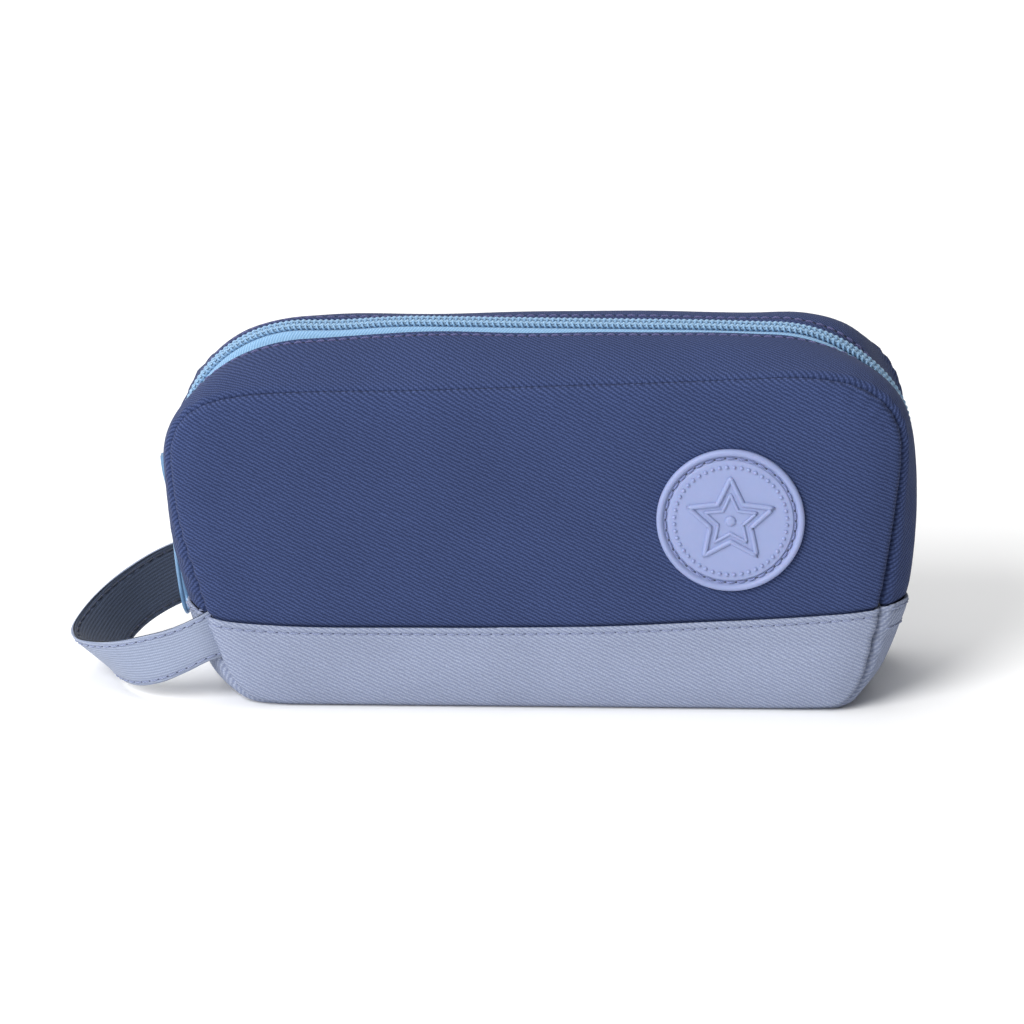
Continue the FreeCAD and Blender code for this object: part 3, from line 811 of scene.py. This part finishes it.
    def piece(self, node, zones, lower, material, slot, inset=0.0, thickness=FABRIC, name=None):
        """One cloth piece: its zones, above or below the joint, set in and thickened."""
        verts, layers = self.work.verts, self.work.verts.layers.float_vector
        if inset:
            points = np.array([v[layers["plain"]] for v in verts])
            normal = unit(np.array([v[layers["outward"]] for v in verts]))
            rise = np.full(len(self.above), -inset)
        else:
            points = np.array([v.co for v in verts])
            normal = np.array([v.normal for v in verts])
            rise = lower_lift(self.above) if lower else upper_lift(self.above)
        points = points + normal * rise[:, None]
        points[:, 2] = np.maximum(points[:, 2], FLOOR_GAP + inset)
        wanted = {self.zone_names.index(z) for z in zones}
        low_edge = 0.0 if inset else TUCKED_EDGE
        faces, uvs = [], []
        uv = self.work.loops.layers.uv["weave"]
        for face in self.work.faces:
            if face[self.tag] not in wanted:
                continue
            middle = sum(self.above[v.index] for v in face.verts) / len(face.verts)
            if (middle < 0) if lower else (middle > low_edge):
                faces.append([v.index for v in face.verts])
                uvs += [tuple(corner[uv].uv) for corner in face.loops]
        used = np.unique(np.concatenate([np.array(f) for f in faces]))
        renumber = {old: new for new, old in enumerate(used)}
        name = name or "cloth_" + node
        mesh = bpy.data.meshes.new(name)
        mesh.from_pydata((points[used] * MM).tolist(), [], [[renumber[i] for i in f] for f in faces])
        mesh.uv_layers.new(name="weave").data.foreach_set("uv", np.array(uvs, np.float32).ravel())
        mesh.update()
        mesh.materials.append(material)
        made = thicken(scene_object(name, mesh), thickness)
        stand_for(made, node, slot)
        return made


def lower_lift(above):
    """How far pale cloth stands out below the joint: a folded edge, pulled down at its stitching."""
    proud = 0.5 * smoothstep(above, -9, -2) - 0.32 * smoothstep(above, -0.5, 0.0)
    return proud - 0.34 * np.exp(-((above + BAND_STITCH) / 0.42) ** 2)


def upper_lift(above):
    """How far navy cloth sinks above the joint, where it runs in under the pale cloth."""
    return -0.3 * (1 - smoothstep(above, 0.0, 5.0)) - 0.75 * (1 - smoothstep(above, -0.4, 0.9))


AROUND = ("gusset_front", "roll_front", "middle", "roll_back", "gusset_back")


def make_shell(shell):
    shell.cut()
    cloth = {}
    for node, zones, lower, material in (
        ("front_panel_upper", ("front",), False, "navy_twill"),
        ("front_panel_band", ("front",), True, "pale_twill"),
        ("back_panel_upper", ("back",), False, "navy_twill"),
        ("back_panel_band", ("back",), True, "pale_twill"),
        ("zip_gusset_front", ("gusset_front", "roll_front"), False, "navy_twill_strip"),
        ("zip_gusset_back", ("gusset_back", "roll_back"), False, "navy_twill_strip"),
        ("base_gusset", AROUND, True, "pale_twill_strip"),
    ):
        cloth[node] = shell.piece(node, zones, lower, looks[material], material.removesuffix("_strip"))
    for node, zones, lower, name in (
        ("front_lining_upper", ("front",), False, None),
        ("front_lining_lower", ("front",), True, None),
        ("zip_gusset_lining_front", ("gusset_front",), False, None),
        ("zip_gusset_lining_back", ("gusset_back",), False, None),
        ("base_lining", AROUND, True, None),
        ("back_lining", ("back",), False, None),
        ("back_lining", ("back",), True, "cloth_back_lining_low"),
    ):
        shell.piece(node, zones, lower, looks["lining_cloth"], "lining_cloth", LINING_INSET, LINING, name)
    shell.work.free()
    return cloth


def stand_for(piece, node, slot):
    """The piece replaces a CAD node, which it hides, and moves with that node's body; on the front lip and the
    handle its transform is only baked in, so it stays put. The slot argument is not used.
    """
    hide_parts(node)
    body = frame["nodes"][node]["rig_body"]
    if body == "front_lip":
        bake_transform(piece)
    elif body == "handle":
        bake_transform(piece)
    else:
        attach(piece, body)


LIP_START = (0, 0, 0.029)

badge_low, badge_high = [np.array(c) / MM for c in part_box("badge")]
badge_x, badge_z = (badge_low[0] + badge_high[0]) / 2, (badge_low[2] + badge_high[2]) / 2
badge_radius = (badge_high[0] - badge_low[0]) / 2
badge_back = badge_high[1]


# ---- stitching ----------------------------------------------------------------------------
STITCH = 2.55               # length of a stitch, and of the gap at its needle hole
STITCH_GAP = 0.6
THREAD_RADIUS = 0.25
GUIDE_REACH = 42.0          # guide lines for stitching start this far out


def on_surface(tree, points, inwards):
    """Where guide points outside the cloth land on it, going inwards, and its normals there."""
    places, normals = [], []
    inwards = np.broadcast_to(np.asarray(inwards, float), np.shape(points))
    for p, way in zip(points, inwards):
        place, normal, _, _ = tree.ray_cast(Vector(p) * MM, Vector(way))
        if place is not None:
            places.append(np.array(place) / MM)
            normals.append(np.array(normal))
    return np.array(places), unit(np.array(normals))


def surface_of(thing):
    graph = bpy.context.evaluated_depsgraph_get()
    return BVHTree.FromObject(thing, graph)


def sew(parts, line, normals, stitch=STITCH, gap=STITCH_GAP, radius=THREAD_RADIUS, closed=False):
    """Stitches along a line that lies on cloth: threads that dive into a needle hole at each end, where a
    short dark tube paints the shade inside the hole.
    """
    along = arc_lengths(line)
    count = max(1, round(along[-1] / (stitch + gap)))
    pitch = along[-1] / count
    rise = np.array([-0.3, 0.45, 0.8, 0.9, 0.8, 0.45, -0.3]) * radius
    thick = np.array([0.7, 0.95, 1.0, 1.0, 1.0, 0.95, 0.7]) * radius
    share = np.linspace(0, 1, len(rise))

    def at(values, places):
        return np.stack([np.interp(places, along, values[:, k]) for k in range(3)], axis=1)

    for i in range(count):
        start = i * pitch + (pitch - stitch) / 2
        places = start + share * stitch
        up = unit(at(normals, places))
        parts.add(*tube(at(line, places) + up * rise[:, None], thick, 8))
        # Painted shade: a short dark tube, sunk a little into the cloth at each needle hole, stands for the
        # shade in the hole.
        hole = i * pitch + np.linspace(-0.5, 0.5, 3) * (pitch - stitch) * 0.9
        if i or closed:
            hole = hole % along[-1] if closed else hole
            up = unit(at(normals, hole))
            parts.add(*tube(at(line, hole) - up * 0.08, radius * 0.95, 8), slot=1)


# hole names the material of the dark tubes that paint the shade inside the needle holes.
def stitched(name, lines, node, thread="thread_pale", hole="needle_hole_shade_pale", slot=None, **sizes):
    """Rows of stitches, with the painted shade of their needle holes, as one piece."""
    parts = Parts()
    for line, normals in lines:
        sew(parts, line, normals, **sizes)
    stand_for(parts.build(name, [looks[thread], looks[hole]]), node, slot or thread)


def joint_line(side, drop):
    """Guide points for a row of stitches a drop below the joint, across one panel."""
    x = np.linspace(-91.5, 93.8, 190)
    return xyz(x, side * GUIDE_REACH, joint_height(x) - drop)


def end_line(sign, drop):
    """Guide points for a row of stitches round one end of the gusset."""
    y = np.linspace(-SEAM_Y + 1.2, SEAM_Y - 1.2, 70)
    return xyz(sign * 125.0, y, joint_height(sign * 100.0) - drop)


def zip_middle():
    """The zip's middle line above the joint, right end to left, and the folds' offsets from it."""
    plain = zip_outline()
    lift = standing_out(plain, ZIP_LIFT)
    line = plain + curve_normals(plain) * lift[:, None]
    low = joint_height(line[:, 0])
    keep = np.flatnonzero(line[:, 1] > low)
    keep = slice(keep[0], keep[-1] + 1)
    folds = {side: (standing_out(plain, FOLD_LIFT[side]) - lift)[keep] for side in FOLD_LIFT}
    return line[keep], folds


def make_stitching(cloth):
    sides = ((NEAR, "front"), (FAR, "back"))
    for side, name in sides:
        tree = surface_of(cloth[name + "_panel_band"])
        line = on_surface(tree, joint_line(side, BAND_STITCH), (0, -side, 0))
        stitched("stitches_band_" + name, [line], name + "_band_topstitch")
    tree = surface_of(cloth["base_gusset"])
    rows = [
        on_surface(tree, end_line(sign, drop), (-sign, 0, 0)) for sign in (-1, 1) for drop in JOINT_ROWS
    ]
    stitched("stitches_gusset_joint", rows, "gusset_joint_topstitch")
    middle, _ = zip_middle()
    out = curve_normals(middle, closed=False)
    outwards = xyz(out[:, 0], 0, out[:, 1])
    for side, name in sides:
        tree = surface_of(cloth["zip_gusset_" + name])
        guide = xyz(middle[:, 0], side * ZIP_STITCH_Y, middle[:, 1]) + outwards * 8
        # The needle holes of these rows get dark tubes of painted shade.
        stitched(
            "stitches_zip_" + name, [on_surface(tree, guide, -outwards)], "zip_topstitch_" + name,
            "thread_navy", "needle_hole_shade_navy", stitch=2.3, gap=0.8, radius=0.3,
        )


# ---- zip ----------------------------------------------------------------------------------
COIL_PITCH = 1.584
COIL_TURN = (               # along in pitches, across from the middle plane, rise, thickness
    (0.00, 2.72, 0.06, 0.38), (0.03, 2.20, 0.20, 0.42), (0.05, 1.10, 0.22, 0.42),
    (0.06, 0.30, 0.16, 0.46), (0.09, -0.12, -0.25, 0.46), (0.14, 0.30, -0.75, 0.38),
    (0.30, 1.30, -0.90, 0.32), (0.58, 2.30, -0.88, 0.32), (0.82, 2.90, -0.45, 0.32),
)
COIL_SAMPLES = 16           # points along one turn
TAPE_PROFILE = (            # across from the middle plane, and rise of the tape's upper face
    (0.75, -1.0), (1.8, -1.0), (2.9, -0.95), (3.3, -0.75), (3.9, -0.7), (4.6, -1.0), (5.4, -1.45),
    (6.2, -1.75), (7.6, -1.9),
)
TAPE = 0.45
CHAIN_THREADS = ((1.40, 0.2), (2.20, 0.2))   # across, radius
CORE_CORD = (1.75, -0.34, 0.44)     # across, rise and radius of the cord inside the coil


def track(points, outwards, along, places, across, rise, side):
    """Points beside the zip curve: distances along it, across and outwards."""
    x, z, out_x, out_z = [np.interp(places, along, v) for v in (*points.T, *outwards.T)]
    return xyz(x + out_x * rise, side * np.asarray(across, float), z + out_z * rise)


def make_zip():
    line, folds = zip_middle()
    along = arc_lengths(line)
    outwards = curve_normals(line, closed=False)
    slider_low, slider_high = [np.array(c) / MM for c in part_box("slider_body")]
    left = line[:, 0] < 0
    turn = np.array(COIL_TURN)
    samples = np.linspace(0, 1, COIL_SAMPLES, endpoint=False)
    cycle = np.vstack([turn, turn[:1] + (1, 0, 0, 0)])
    smooth_cycle = spline(cycle, 0.05, False)
    key = np.linspace(0, 1, len(smooth_cycle))
    one = np.stack([np.interp(samples, key, smooth_cycle[:, k]) for k in range(4)], axis=1)

    for side, name, stop_z in ((NEAR, "front", slider_high[2]), (FAR, "back", slider_low[2] + 0.5)):
        end = along[np.flatnonzero(left & (line[:, 1] > stop_z))[-1]]
        turns = int((end - 1.0) / COIL_PITCH)
        shift = 0.5 if side == FAR else 0.0
        places = (np.arange(turns)[:, None] + shift + one[None, :, 0]).ravel() * COIL_PITCH + 0.5
        across, rise, thick = [np.tile(one[:, k], turns) for k in (1, 2, 3)]
        coil = Parts()
        coil.add(*tube(track(line, outwards, along, places, across, rise, side), thick, 7))
        for offset, radius in CHAIN_THREADS:
            fine = np.arange(0.5, end - 1.0, COIL_PITCH / 8)
            over = np.cos((fine / COIL_PITCH - shift - 0.35) * 2 * math.pi)
            path = track(line, outwards, along, fine, offset, 0.46 + 0.16 * over, side)
            coil.add(*tube(path, radius, 6), slot=1)
        core_y, core_rise, core_radius = CORE_CORD
        path = track(line, outwards, along, fine, core_y, core_rise, side)
        coil.add(*tube(path, core_radius, 8), slot=1)
        piece = coil.build("coil_" + name, [looks["zip_coil"], looks["zip_thread"]])
        stand_for(piece, "zip_coil_" + name, "zip_coil")

        places = np.arange(0.0, along[-1], 1.5)
        fold = np.interp(places, along, folds[side])
        rows = [
            track(line, outwards, along, places, a, r + fold * smoothstep(a, 3.6, 6.2), side)
            for a, r in TAPE_PROFILE
        ]
        uvs = [(p, a) for a, _ in TAPE_PROFILE for p in places]
        faces = grid_faces(len(rows), len(places))
        if side == FAR:
            faces = [tuple(reversed(f)) for f in faces]
        tape = mesh_object("tape_" + name, np.vstack(rows), faces, [looks["zip_tape"]], uvs)
        stand_for(thicken(tape, TAPE), "zip_tape_" + name, "zip_tape")


def make_slider():
    """Looks for the slider and the top stops, which stay as the CAD model makes them."""
    for node, material, bevel in (
        ("slider_body", "zip_metal", 0.22), ("slider_bridge", "zip_metal", 0.2),
        ("slider_lock_spring", "spring_steel", 0.05), ("zip_top_stop_front", "zip_coil", 0.3),
        ("zip_top_stop_back", "zip_coil", 0.3),
    ):
        thing = frame["nodes"][node]
        while len(thing.material_slots) < 1:
            thing.data.materials.append(None)
        for place in thing.material_slots:
            place.material = looks[material]
        rounded = thing.modifiers.new("rounded", "BEVEL")
        rounded.width = bevel * MM
        rounded.segments = 2
        rounded.limit_method = "ANGLE"


PULL_POINTS = (             # down the pull from its pivot: along, out from the case, half width
    (0.0, 0.0, 0.0), (0.0, 0.0, 1.6), (0.15, 0.0, 2.7), (1.3, 0.1, 3.2), (8, 0.5, 3.3), (18, 0.9, 3.5),
    (28, 0.7, 3.8), (34, 0.3, 4.1), (37.3, -0.1, 3.7), (39, -0.4, 2.3), (39.5, -0.5, 0.0),
)
PULL_LEAN = 4.5
PULL_RADIUS = 0.6


def make_pull():
    """Bowed wire loop, on the pivot that the slider gives it."""
    joint = next(j for j in frame["joints"] if j["name"] == "pull_swing")
    pivot = np.array(joint["pos_m"]) / MM
    lean = math.radians(PULL_LEAN)
    down = np.array([math.sin(lean), 0, -math.cos(lean)])
    out = np.array([-math.cos(lean), 0, -math.sin(lean)])
    half = spline(PULL_POINTS, 0.5, False)
    half[:, 2] = np.maximum(half[:, 2], 0)

    def points(values, sign):
        return pivot + values[:, :1] * down + values[:, 1:2] * out + sign * values[:, 2:] * (0, 1, 0)

    loop = np.vstack([points(half, 1), points(half[::-1], -1)[1:-1]])
    parts = Parts()
    parts.add(*tube(loop, PULL_RADIUS, 12, closed=True))
    stand_for(parts.build("wire_pull", [looks["zip_metal"]]), "pull_loop", "zip_metal")


# ---- seam bindings --------------------------------------------------------------------------
def make_bindings(shell):
    """Bound seam allowances that stand inwards along the two panel seams."""
    half = BINDING_THICKNESS / 2
    profile = [
        (0.0, -0.7), (0.4, -1.0), (3.0, -0.8), (6.2, -1.0), (6.8, -0.6), (6.8, 0.6), (6.2, 1.0),
        (3.0, 0.8), (0.4, 1.0), (0.0, 0.7),
    ]
    for side in (NEAR, FAR):
        points, uvs = [], []
        for d, t in profile:
            ring = shell.ring(side, BINDING_INSET + d)
            points.append(xyz(ring[:, 0], side * (SEAM_Y - half + t * half), ring[:, 1]))
            uvs += [(s, d + t) for s in shell.length[:-1]]
        faces = grid_faces(len(profile), shell.count, True, True)
        whole = (("seam_binding_back", None),)
        split = (("seam_binding_front_upper", 1), ("seam_binding_front_lower", -1))
        for node, keep in split if side == NEAR else whole:
            piece = mesh_object("tape_" + node, np.vstack(points), faces, [looks["binding_tape"]], uvs)
            if keep:
                trim(piece, LIP_START[2], keep)
            turn_outwards(piece.data)
            stand_for(piece, node, "binding_tape")


def trim(piece, z, keep):
    """Keeps the part above (1) or below (-1) a height in metres and closes the cut."""
    work = bmesh.new()
    work.from_mesh(piece.data)
    everything = work.verts[:] + work.edges[:] + work.faces[:]
    cut = bmesh.ops.bisect_plane(
        work, geom=everything, plane_co=(0, 0, z), plane_no=(0, 0, keep), clear_inner=True,
    )
    edges = [e for e in cut["geom_cut"] if isinstance(e, bmesh.types.BMEdge)]
    bmesh.ops.holes_fill(work, edges=edges)
    work.to_mesh(piece.data)
    work.free()


# ---- handle -------------------------------------------------------------------------------
HANDLE_TOP_EDGE = (
    (-90.5, -25.8, 28.0), (-94.5, -27.3, 26.0), (-102, -26.6, 22.2), (-110, -24.4, 19.2),
    (-118, -20.6, 16.4), (-125, -14.8, 14.4), (-130.6, -8.0, 13.4), (-132.4, 0.0, 13.6),
    (-130.4, 8.0, 15.8), (-125.2, 15.6, 20.0), (-118, 21.2, 24.4), (-109, 25.0, 28.8),
    (-100, 27.0, 31.7), (-94.5, 27.0, 32.5), (-90.5, 25.4, 32.9),
)
HANDLE_LOW_EDGE = (
    (-86.5, -25.8, 14.4), (-90.6, -27.4, 13.6), (-97.5, -27.0, 9.9), (-104.5, -25.2, 6.2),
    (-110.5, -21.6, 3.9), (-115.2, -15.8, 2.7), (-118.4, -8.4, 2.3), (-119.6, 0.0, 2.7),
    (-118.6, 8.2, 3.2), (-116.6, 15.8, 5.4), (-112.6, 21.6, 8.0), (-105.8, 25.4, 11.4),
    (-97.5, 27.2, 14.4), (-92.6, 27.2, 15.6), (-88.5, 25.4, 16.2),
)
HANDLE_STRAP = 0.9
HANDLE_BACKING = 0.6
LAYER_GAP = 0.04            # between the two layers
HANDLE_STITCH_INSET = 1.5
HANDLE_ROWS = 25
HANDLE_STEP = 1.1


def make_handle():
    """Two-layer strap between its two edge lines, topstitched along both edges."""
    top = evenly(spline(HANDLE_TOP_EDGE, 1.0, False), step=HANDLE_STEP)
    low = evenly(spline(HANDLE_LOW_EDGE, 1.0, False), count=len(top))
    width = np.linalg.norm(top - low, axis=1).mean()
    along = (arc_lengths(top) + arc_lengths(low)) / 2
    share = np.linspace(0, 1, HANDLE_ROWS)
    grid = low[:, None] + (top - low)[:, None] * share[None, :, None]
    normals = unit(np.cross(np.gradient(grid, axis=1), np.gradient(grid, axis=0)))

    edge = np.minimum(share, 1 - share) * width
    form = -0.22 * np.exp(-((edge - HANDLE_STITCH_INSET) / 0.45) ** 2) - 0.3 * np.exp(-edge / 0.35)
    slack = 0.25 * np.sin(along / 9.0)[:, None] * np.sin(share * math.pi * 1.5 + 0.4)[None]
    uvs = [(s, w * width) for s in along for w in share]
    count, rows = grid.shape[:2]
    faces = [(a, d, c, b) for a, b, c, d in grid_faces(count, rows)]

    def layer(name, inner, outer, material, node, slot):
        """Closed layer of the strap between two heights over its middle surface."""
        sheets = []
        for height, sign in ((inner, -1), (outer, 1)):
            lift = (height + slack + sign * form[None])[..., None]
            sheets.append((grid + normals * lift).reshape(-1, 3))
        size = count * rows
        ring = list(range(rows)) + [i * rows + rows - 1 for i in range(1, count)]
        ring += list(range(size - 2, size - rows - 1, -1)) + [i * rows for i in range(count - 2, 0, -1)]
        body = [tuple(reversed(f)) for f in faces] + [tuple(i + size for i in f) for f in faces]
        body += [(a, b, b + size, a + size) for a, b in zip(ring, ring[1:] + ring[:1])]
        piece = mesh_object(name, np.vstack(sheets), body, [material], uvs + uvs)
        turn_outwards(piece.data)
        stand_for(piece, node, slot)
        return sheets

    strap = layer("strap_outside", 0.0, HANDLE_STRAP, looks["strap_ribs"], "handle_strap", "pale_twill")
    lining = layer(
        "strap_inside", -HANDLE_BACKING, -LAYER_GAP, looks["slate_webbing"], "handle_backing", "slate_webbing",
    )
    inset = HANDLE_STITCH_INSET / width
    for face, sheet, sign, thread in (
        ("outside", strap[1], 1, "thread_pale"), ("inside", lining[0], -1, "thread_slate"),
    ):
        lines = [
            (sheet.reshape(count, rows, 3)[:, row], normals[:, row] * sign)
            for row in (round(inset * (rows - 1)), round((1 - inset) * (rows - 1)))
        ]
        stitched("stitches_strap_" + face, lines, "handle_topstitch", thread, slot="thread_pale")


# ---- badge --------------------------------------------------------------------------------
BADGE_RIM = 1.9             # width of the rim, then of the stitched channel
BADGE_CHANNEL = 1.2
BADGE_DOTS = 48
BADGE_DOT_CIRCLE = 0.76     # shares of the badge's radius
BADGE_DOT_RADIUS = 0.56
BADGE_RING = 1.9            # spacing of the rings across the badge's flat faces


def revolve(profile, sides):
    """Points and faces of a solid turned about the badge's axis: radius and height pairs."""
    turn = np.arange(sides) * 2 * math.pi / sides
    points = [(r * math.cos(a), h, r * math.sin(a)) for r, h in profile for a in turn]
    faces = grid_faces(len(profile), sides, closed=True)
    faces.append(tuple(range(sides)))
    faces.append(tuple(range((len(profile) - 1) * sides, len(profile) * sides)))
    return np.array(points), faces


def star_line(outer, inner, points, samples=14):
    """Closed outline of a star, in the badge's plane."""
    corners = []
    for i in range(2 * points):
        a, r = math.pi / 2 + i * math.pi / points, (outer, inner)[i % 2]
        corners.append((r * math.cos(a), r * math.sin(a)))
    corners = np.array(corners)
    share = np.linspace(0, 1, samples, endpoint=False)[:, None]
    return np.vstack([a + (b - a) * share for a, b in zip(corners, np.roll(corners, -1, 0))])


def make_badge():
    """Moulded round patch: rounded rim, stitched channel, ring of dots and a plain star."""
    r = badge_radius
    rim_in, field = r - BADGE_RIM, r - BADGE_RIM - BADGE_CHANNEL
    low, rim, floor, face = -0.1, 1.85, 0.95, 1.42
    rings = np.arange(2.0, field - 1.0, BADGE_RING)
    profile = [(0.6, low)] + [(ring, low) for ring in rings]
    profile += [
        (r - 0.25, low), (r - 0.05, 0.25), (r, 0.7), (r - 0.02, 1.15), (r - 0.2, 1.5), (r - 0.55, 1.75),
        (r - 0.95, rim), (r - 1.35, 1.75), (r - 1.7, 1.5), (rim_in, 1.2), (rim_in - 0.12, floor),
        (field + 0.12, floor), (field, 1.2), (field - 0.1, 1.36), (field - 0.3, face),
    ]
    profile += [(ring, face) for ring in rings[::-1]] + [(0.6, face)]
    parts = Parts()

    def place(points):
        """From the badge's own axes, with height out of the panel, to the row frame."""
        made = np.array(points, float)
        return made * (1, -1, 1) + (badge_x, badge_back, badge_z)

    body, faces = revolve(profile, 144)
    parts.add(place(body), faces)
    dot = [(BADGE_DOT_RADIUS * c, BADGE_DOT_RADIUS * 1.15 * s) for c, s in (
        (1.0, -0.2), (0.98, 0.2), (0.85, 0.55), (0.6, 0.82), (0.3, 0.96), (0.06, 1.0))]
    bump, faces = revolve(dot, 12)
    for i in range(BADGE_DOTS):
        a = (i + 0.5) * 2 * math.pi / BADGE_DOTS
        centre = np.array([math.cos(a), 0, math.sin(a)]) * r * BADGE_DOT_CIRCLE + (0, face, 0)
        parts.add(place(bump + centre), faces)
    for outer, inner, radius in ((0.60, 0.29, 0.75), (0.37, 0.175, 0.5)):
        line = star_line(r * outer, r * inner, 5)
        path = place(xyz(line[:, 0], face + 0.05, line[:, 1]))
        parts.add(*tube(path, radius, 10, closed=True))
    centre_dot = [(1.5 * c, face + 0.7 * s) for c, s in (
        (1.0, -0.1), (0.97, 0.4), (0.8, 0.75), (0.5, 0.94), (0.05, 1.0))]
    bump, faces = revolve(centre_dot, 24)
    parts.add(place(bump), faces)
    stand_for(parts.build("moulded_badge", [looks["soft_pvc"]]), "badge", "soft_pvc")

    turn = np.linspace(0, 2 * math.pi, 361)
    middle = (rim_in + field) / 2
    ring = place(xyz(middle * np.cos(turn), floor, middle * np.sin(turn)))
    facing = np.tile((0.0, -1.0, 0.0), (len(turn), 1))
    stitched(
        "stitches_badge", [(ring, facing)], "badge_stitching", "thread_lilac",
        stitch=2.3, gap=0.7, radius=0.3, closed=True,
    )


# ---- stage --------------------------------------------------------------------------------
AZIMUTH, ELEVATION, ROLL = 3.0, 18.0, 0.45
LENS, SENSOR = 300.0, 36.0
DISTANCE = 2405.0
AIM_RIGHT, AIM_UP = -8.04, 46.3   # middle of the view, from the origin, in the view's plane


def make_camera():
    a, e = math.radians(AZIMUTH), math.radians(ELEVATION)
    right = Vector((math.cos(a), math.sin(a), 0))
    up = Vector((-math.sin(a) * math.sin(e), math.cos(a) * math.sin(e), math.cos(e)))
    back = Vector((math.sin(a) * math.cos(e), -math.cos(a) * math.cos(e), math.sin(e)))
    data = bpy.data.cameras.new("camera")
    data.lens, data.sensor_width = LENS, SENSOR
    data.clip_start, data.clip_end = 0.01, 20
    camera = scene_object("camera", data)
    camera.location = (right * AIM_RIGHT + up * AIM_UP + back * DISTANCE) * MM
    camera.rotation_mode = "QUATERNION"
    roll = Quaternion((0, 0, 1), -math.radians(ROLL))
    camera.rotation_quaternion = (-back).to_track_quat("-Z", "Y") @ roll
    bpy.context.scene.camera = camera


def area_light(name, place, size, power):
    data = bpy.data.lights.new(name, "AREA")
    data.shape = "DISK"
    data.size = size
    data.energy = power
    light = scene_object(name, data)
    light.location = place
    light.rotation_mode = "QUATERNION"
    light.rotation_quaternion = (Vector((0, 0, 0.05)) - Vector(place)).to_track_quat("-Z", "Y")


def make_stage():
    s = Shader("floor_paper", 0.9, specular_ior_level=0.1)
    grain = s.noise(s.place(), 30.0, 4.0)
    white = s.mix(grain, (0.93, 0.93, 0.93, 1), (0.96, 0.96, 0.96, 1))
    s.feed(s.surface.inputs["Base Color"], white)
    size = 4000
    corners = [(-size, -size, 0), (size, -size, 0), (size, size, 0), (-size, size, 0)]
    floor = mesh_object("floor", corners, [(0, 1, 2, 3)], [s.material])
    area_light("key", (-1.9, -2.6, 2.2), 2.4, 160)
    area_light("top", (-0.4, 0.5, 3.0), 2.4, 34)
    world = bpy.data.worlds.new("studio")
    world.use_nodes = True
    nodes, links = world.node_tree.nodes, world.node_tree.links
    way, split, share = [
        nodes.new("ShaderNode" + kind) for kind in ("TexCoord", "SeparateXYZ", "MapRange")
    ]
    for socket, value in (("From Min", -0.8), ("From Max", 0.9), ("To Min", 0.86), ("To Max", 0.12)):
        share.inputs[socket].default_value = value
    links.new(way.outputs["Generated"], split.inputs[0])
    links.new(split.outputs["X"], share.inputs["Value"])
    links.new(share.outputs[0], nodes["Background"].inputs["Strength"])
    nodes["Background"].inputs["Color"].default_value = (1, 1, 1, 1)
    bpy.context.scene.world = world
    bpy.context.scene.view_settings.view_transform = "Standard"


make_materials()
make_camera()
shell = Shell()
cloth = make_shell(shell)
make_stitching(cloth)
make_zip()
make_slider()
make_pull()
make_bindings(shell)
make_handle()
make_badge()
make_stage()
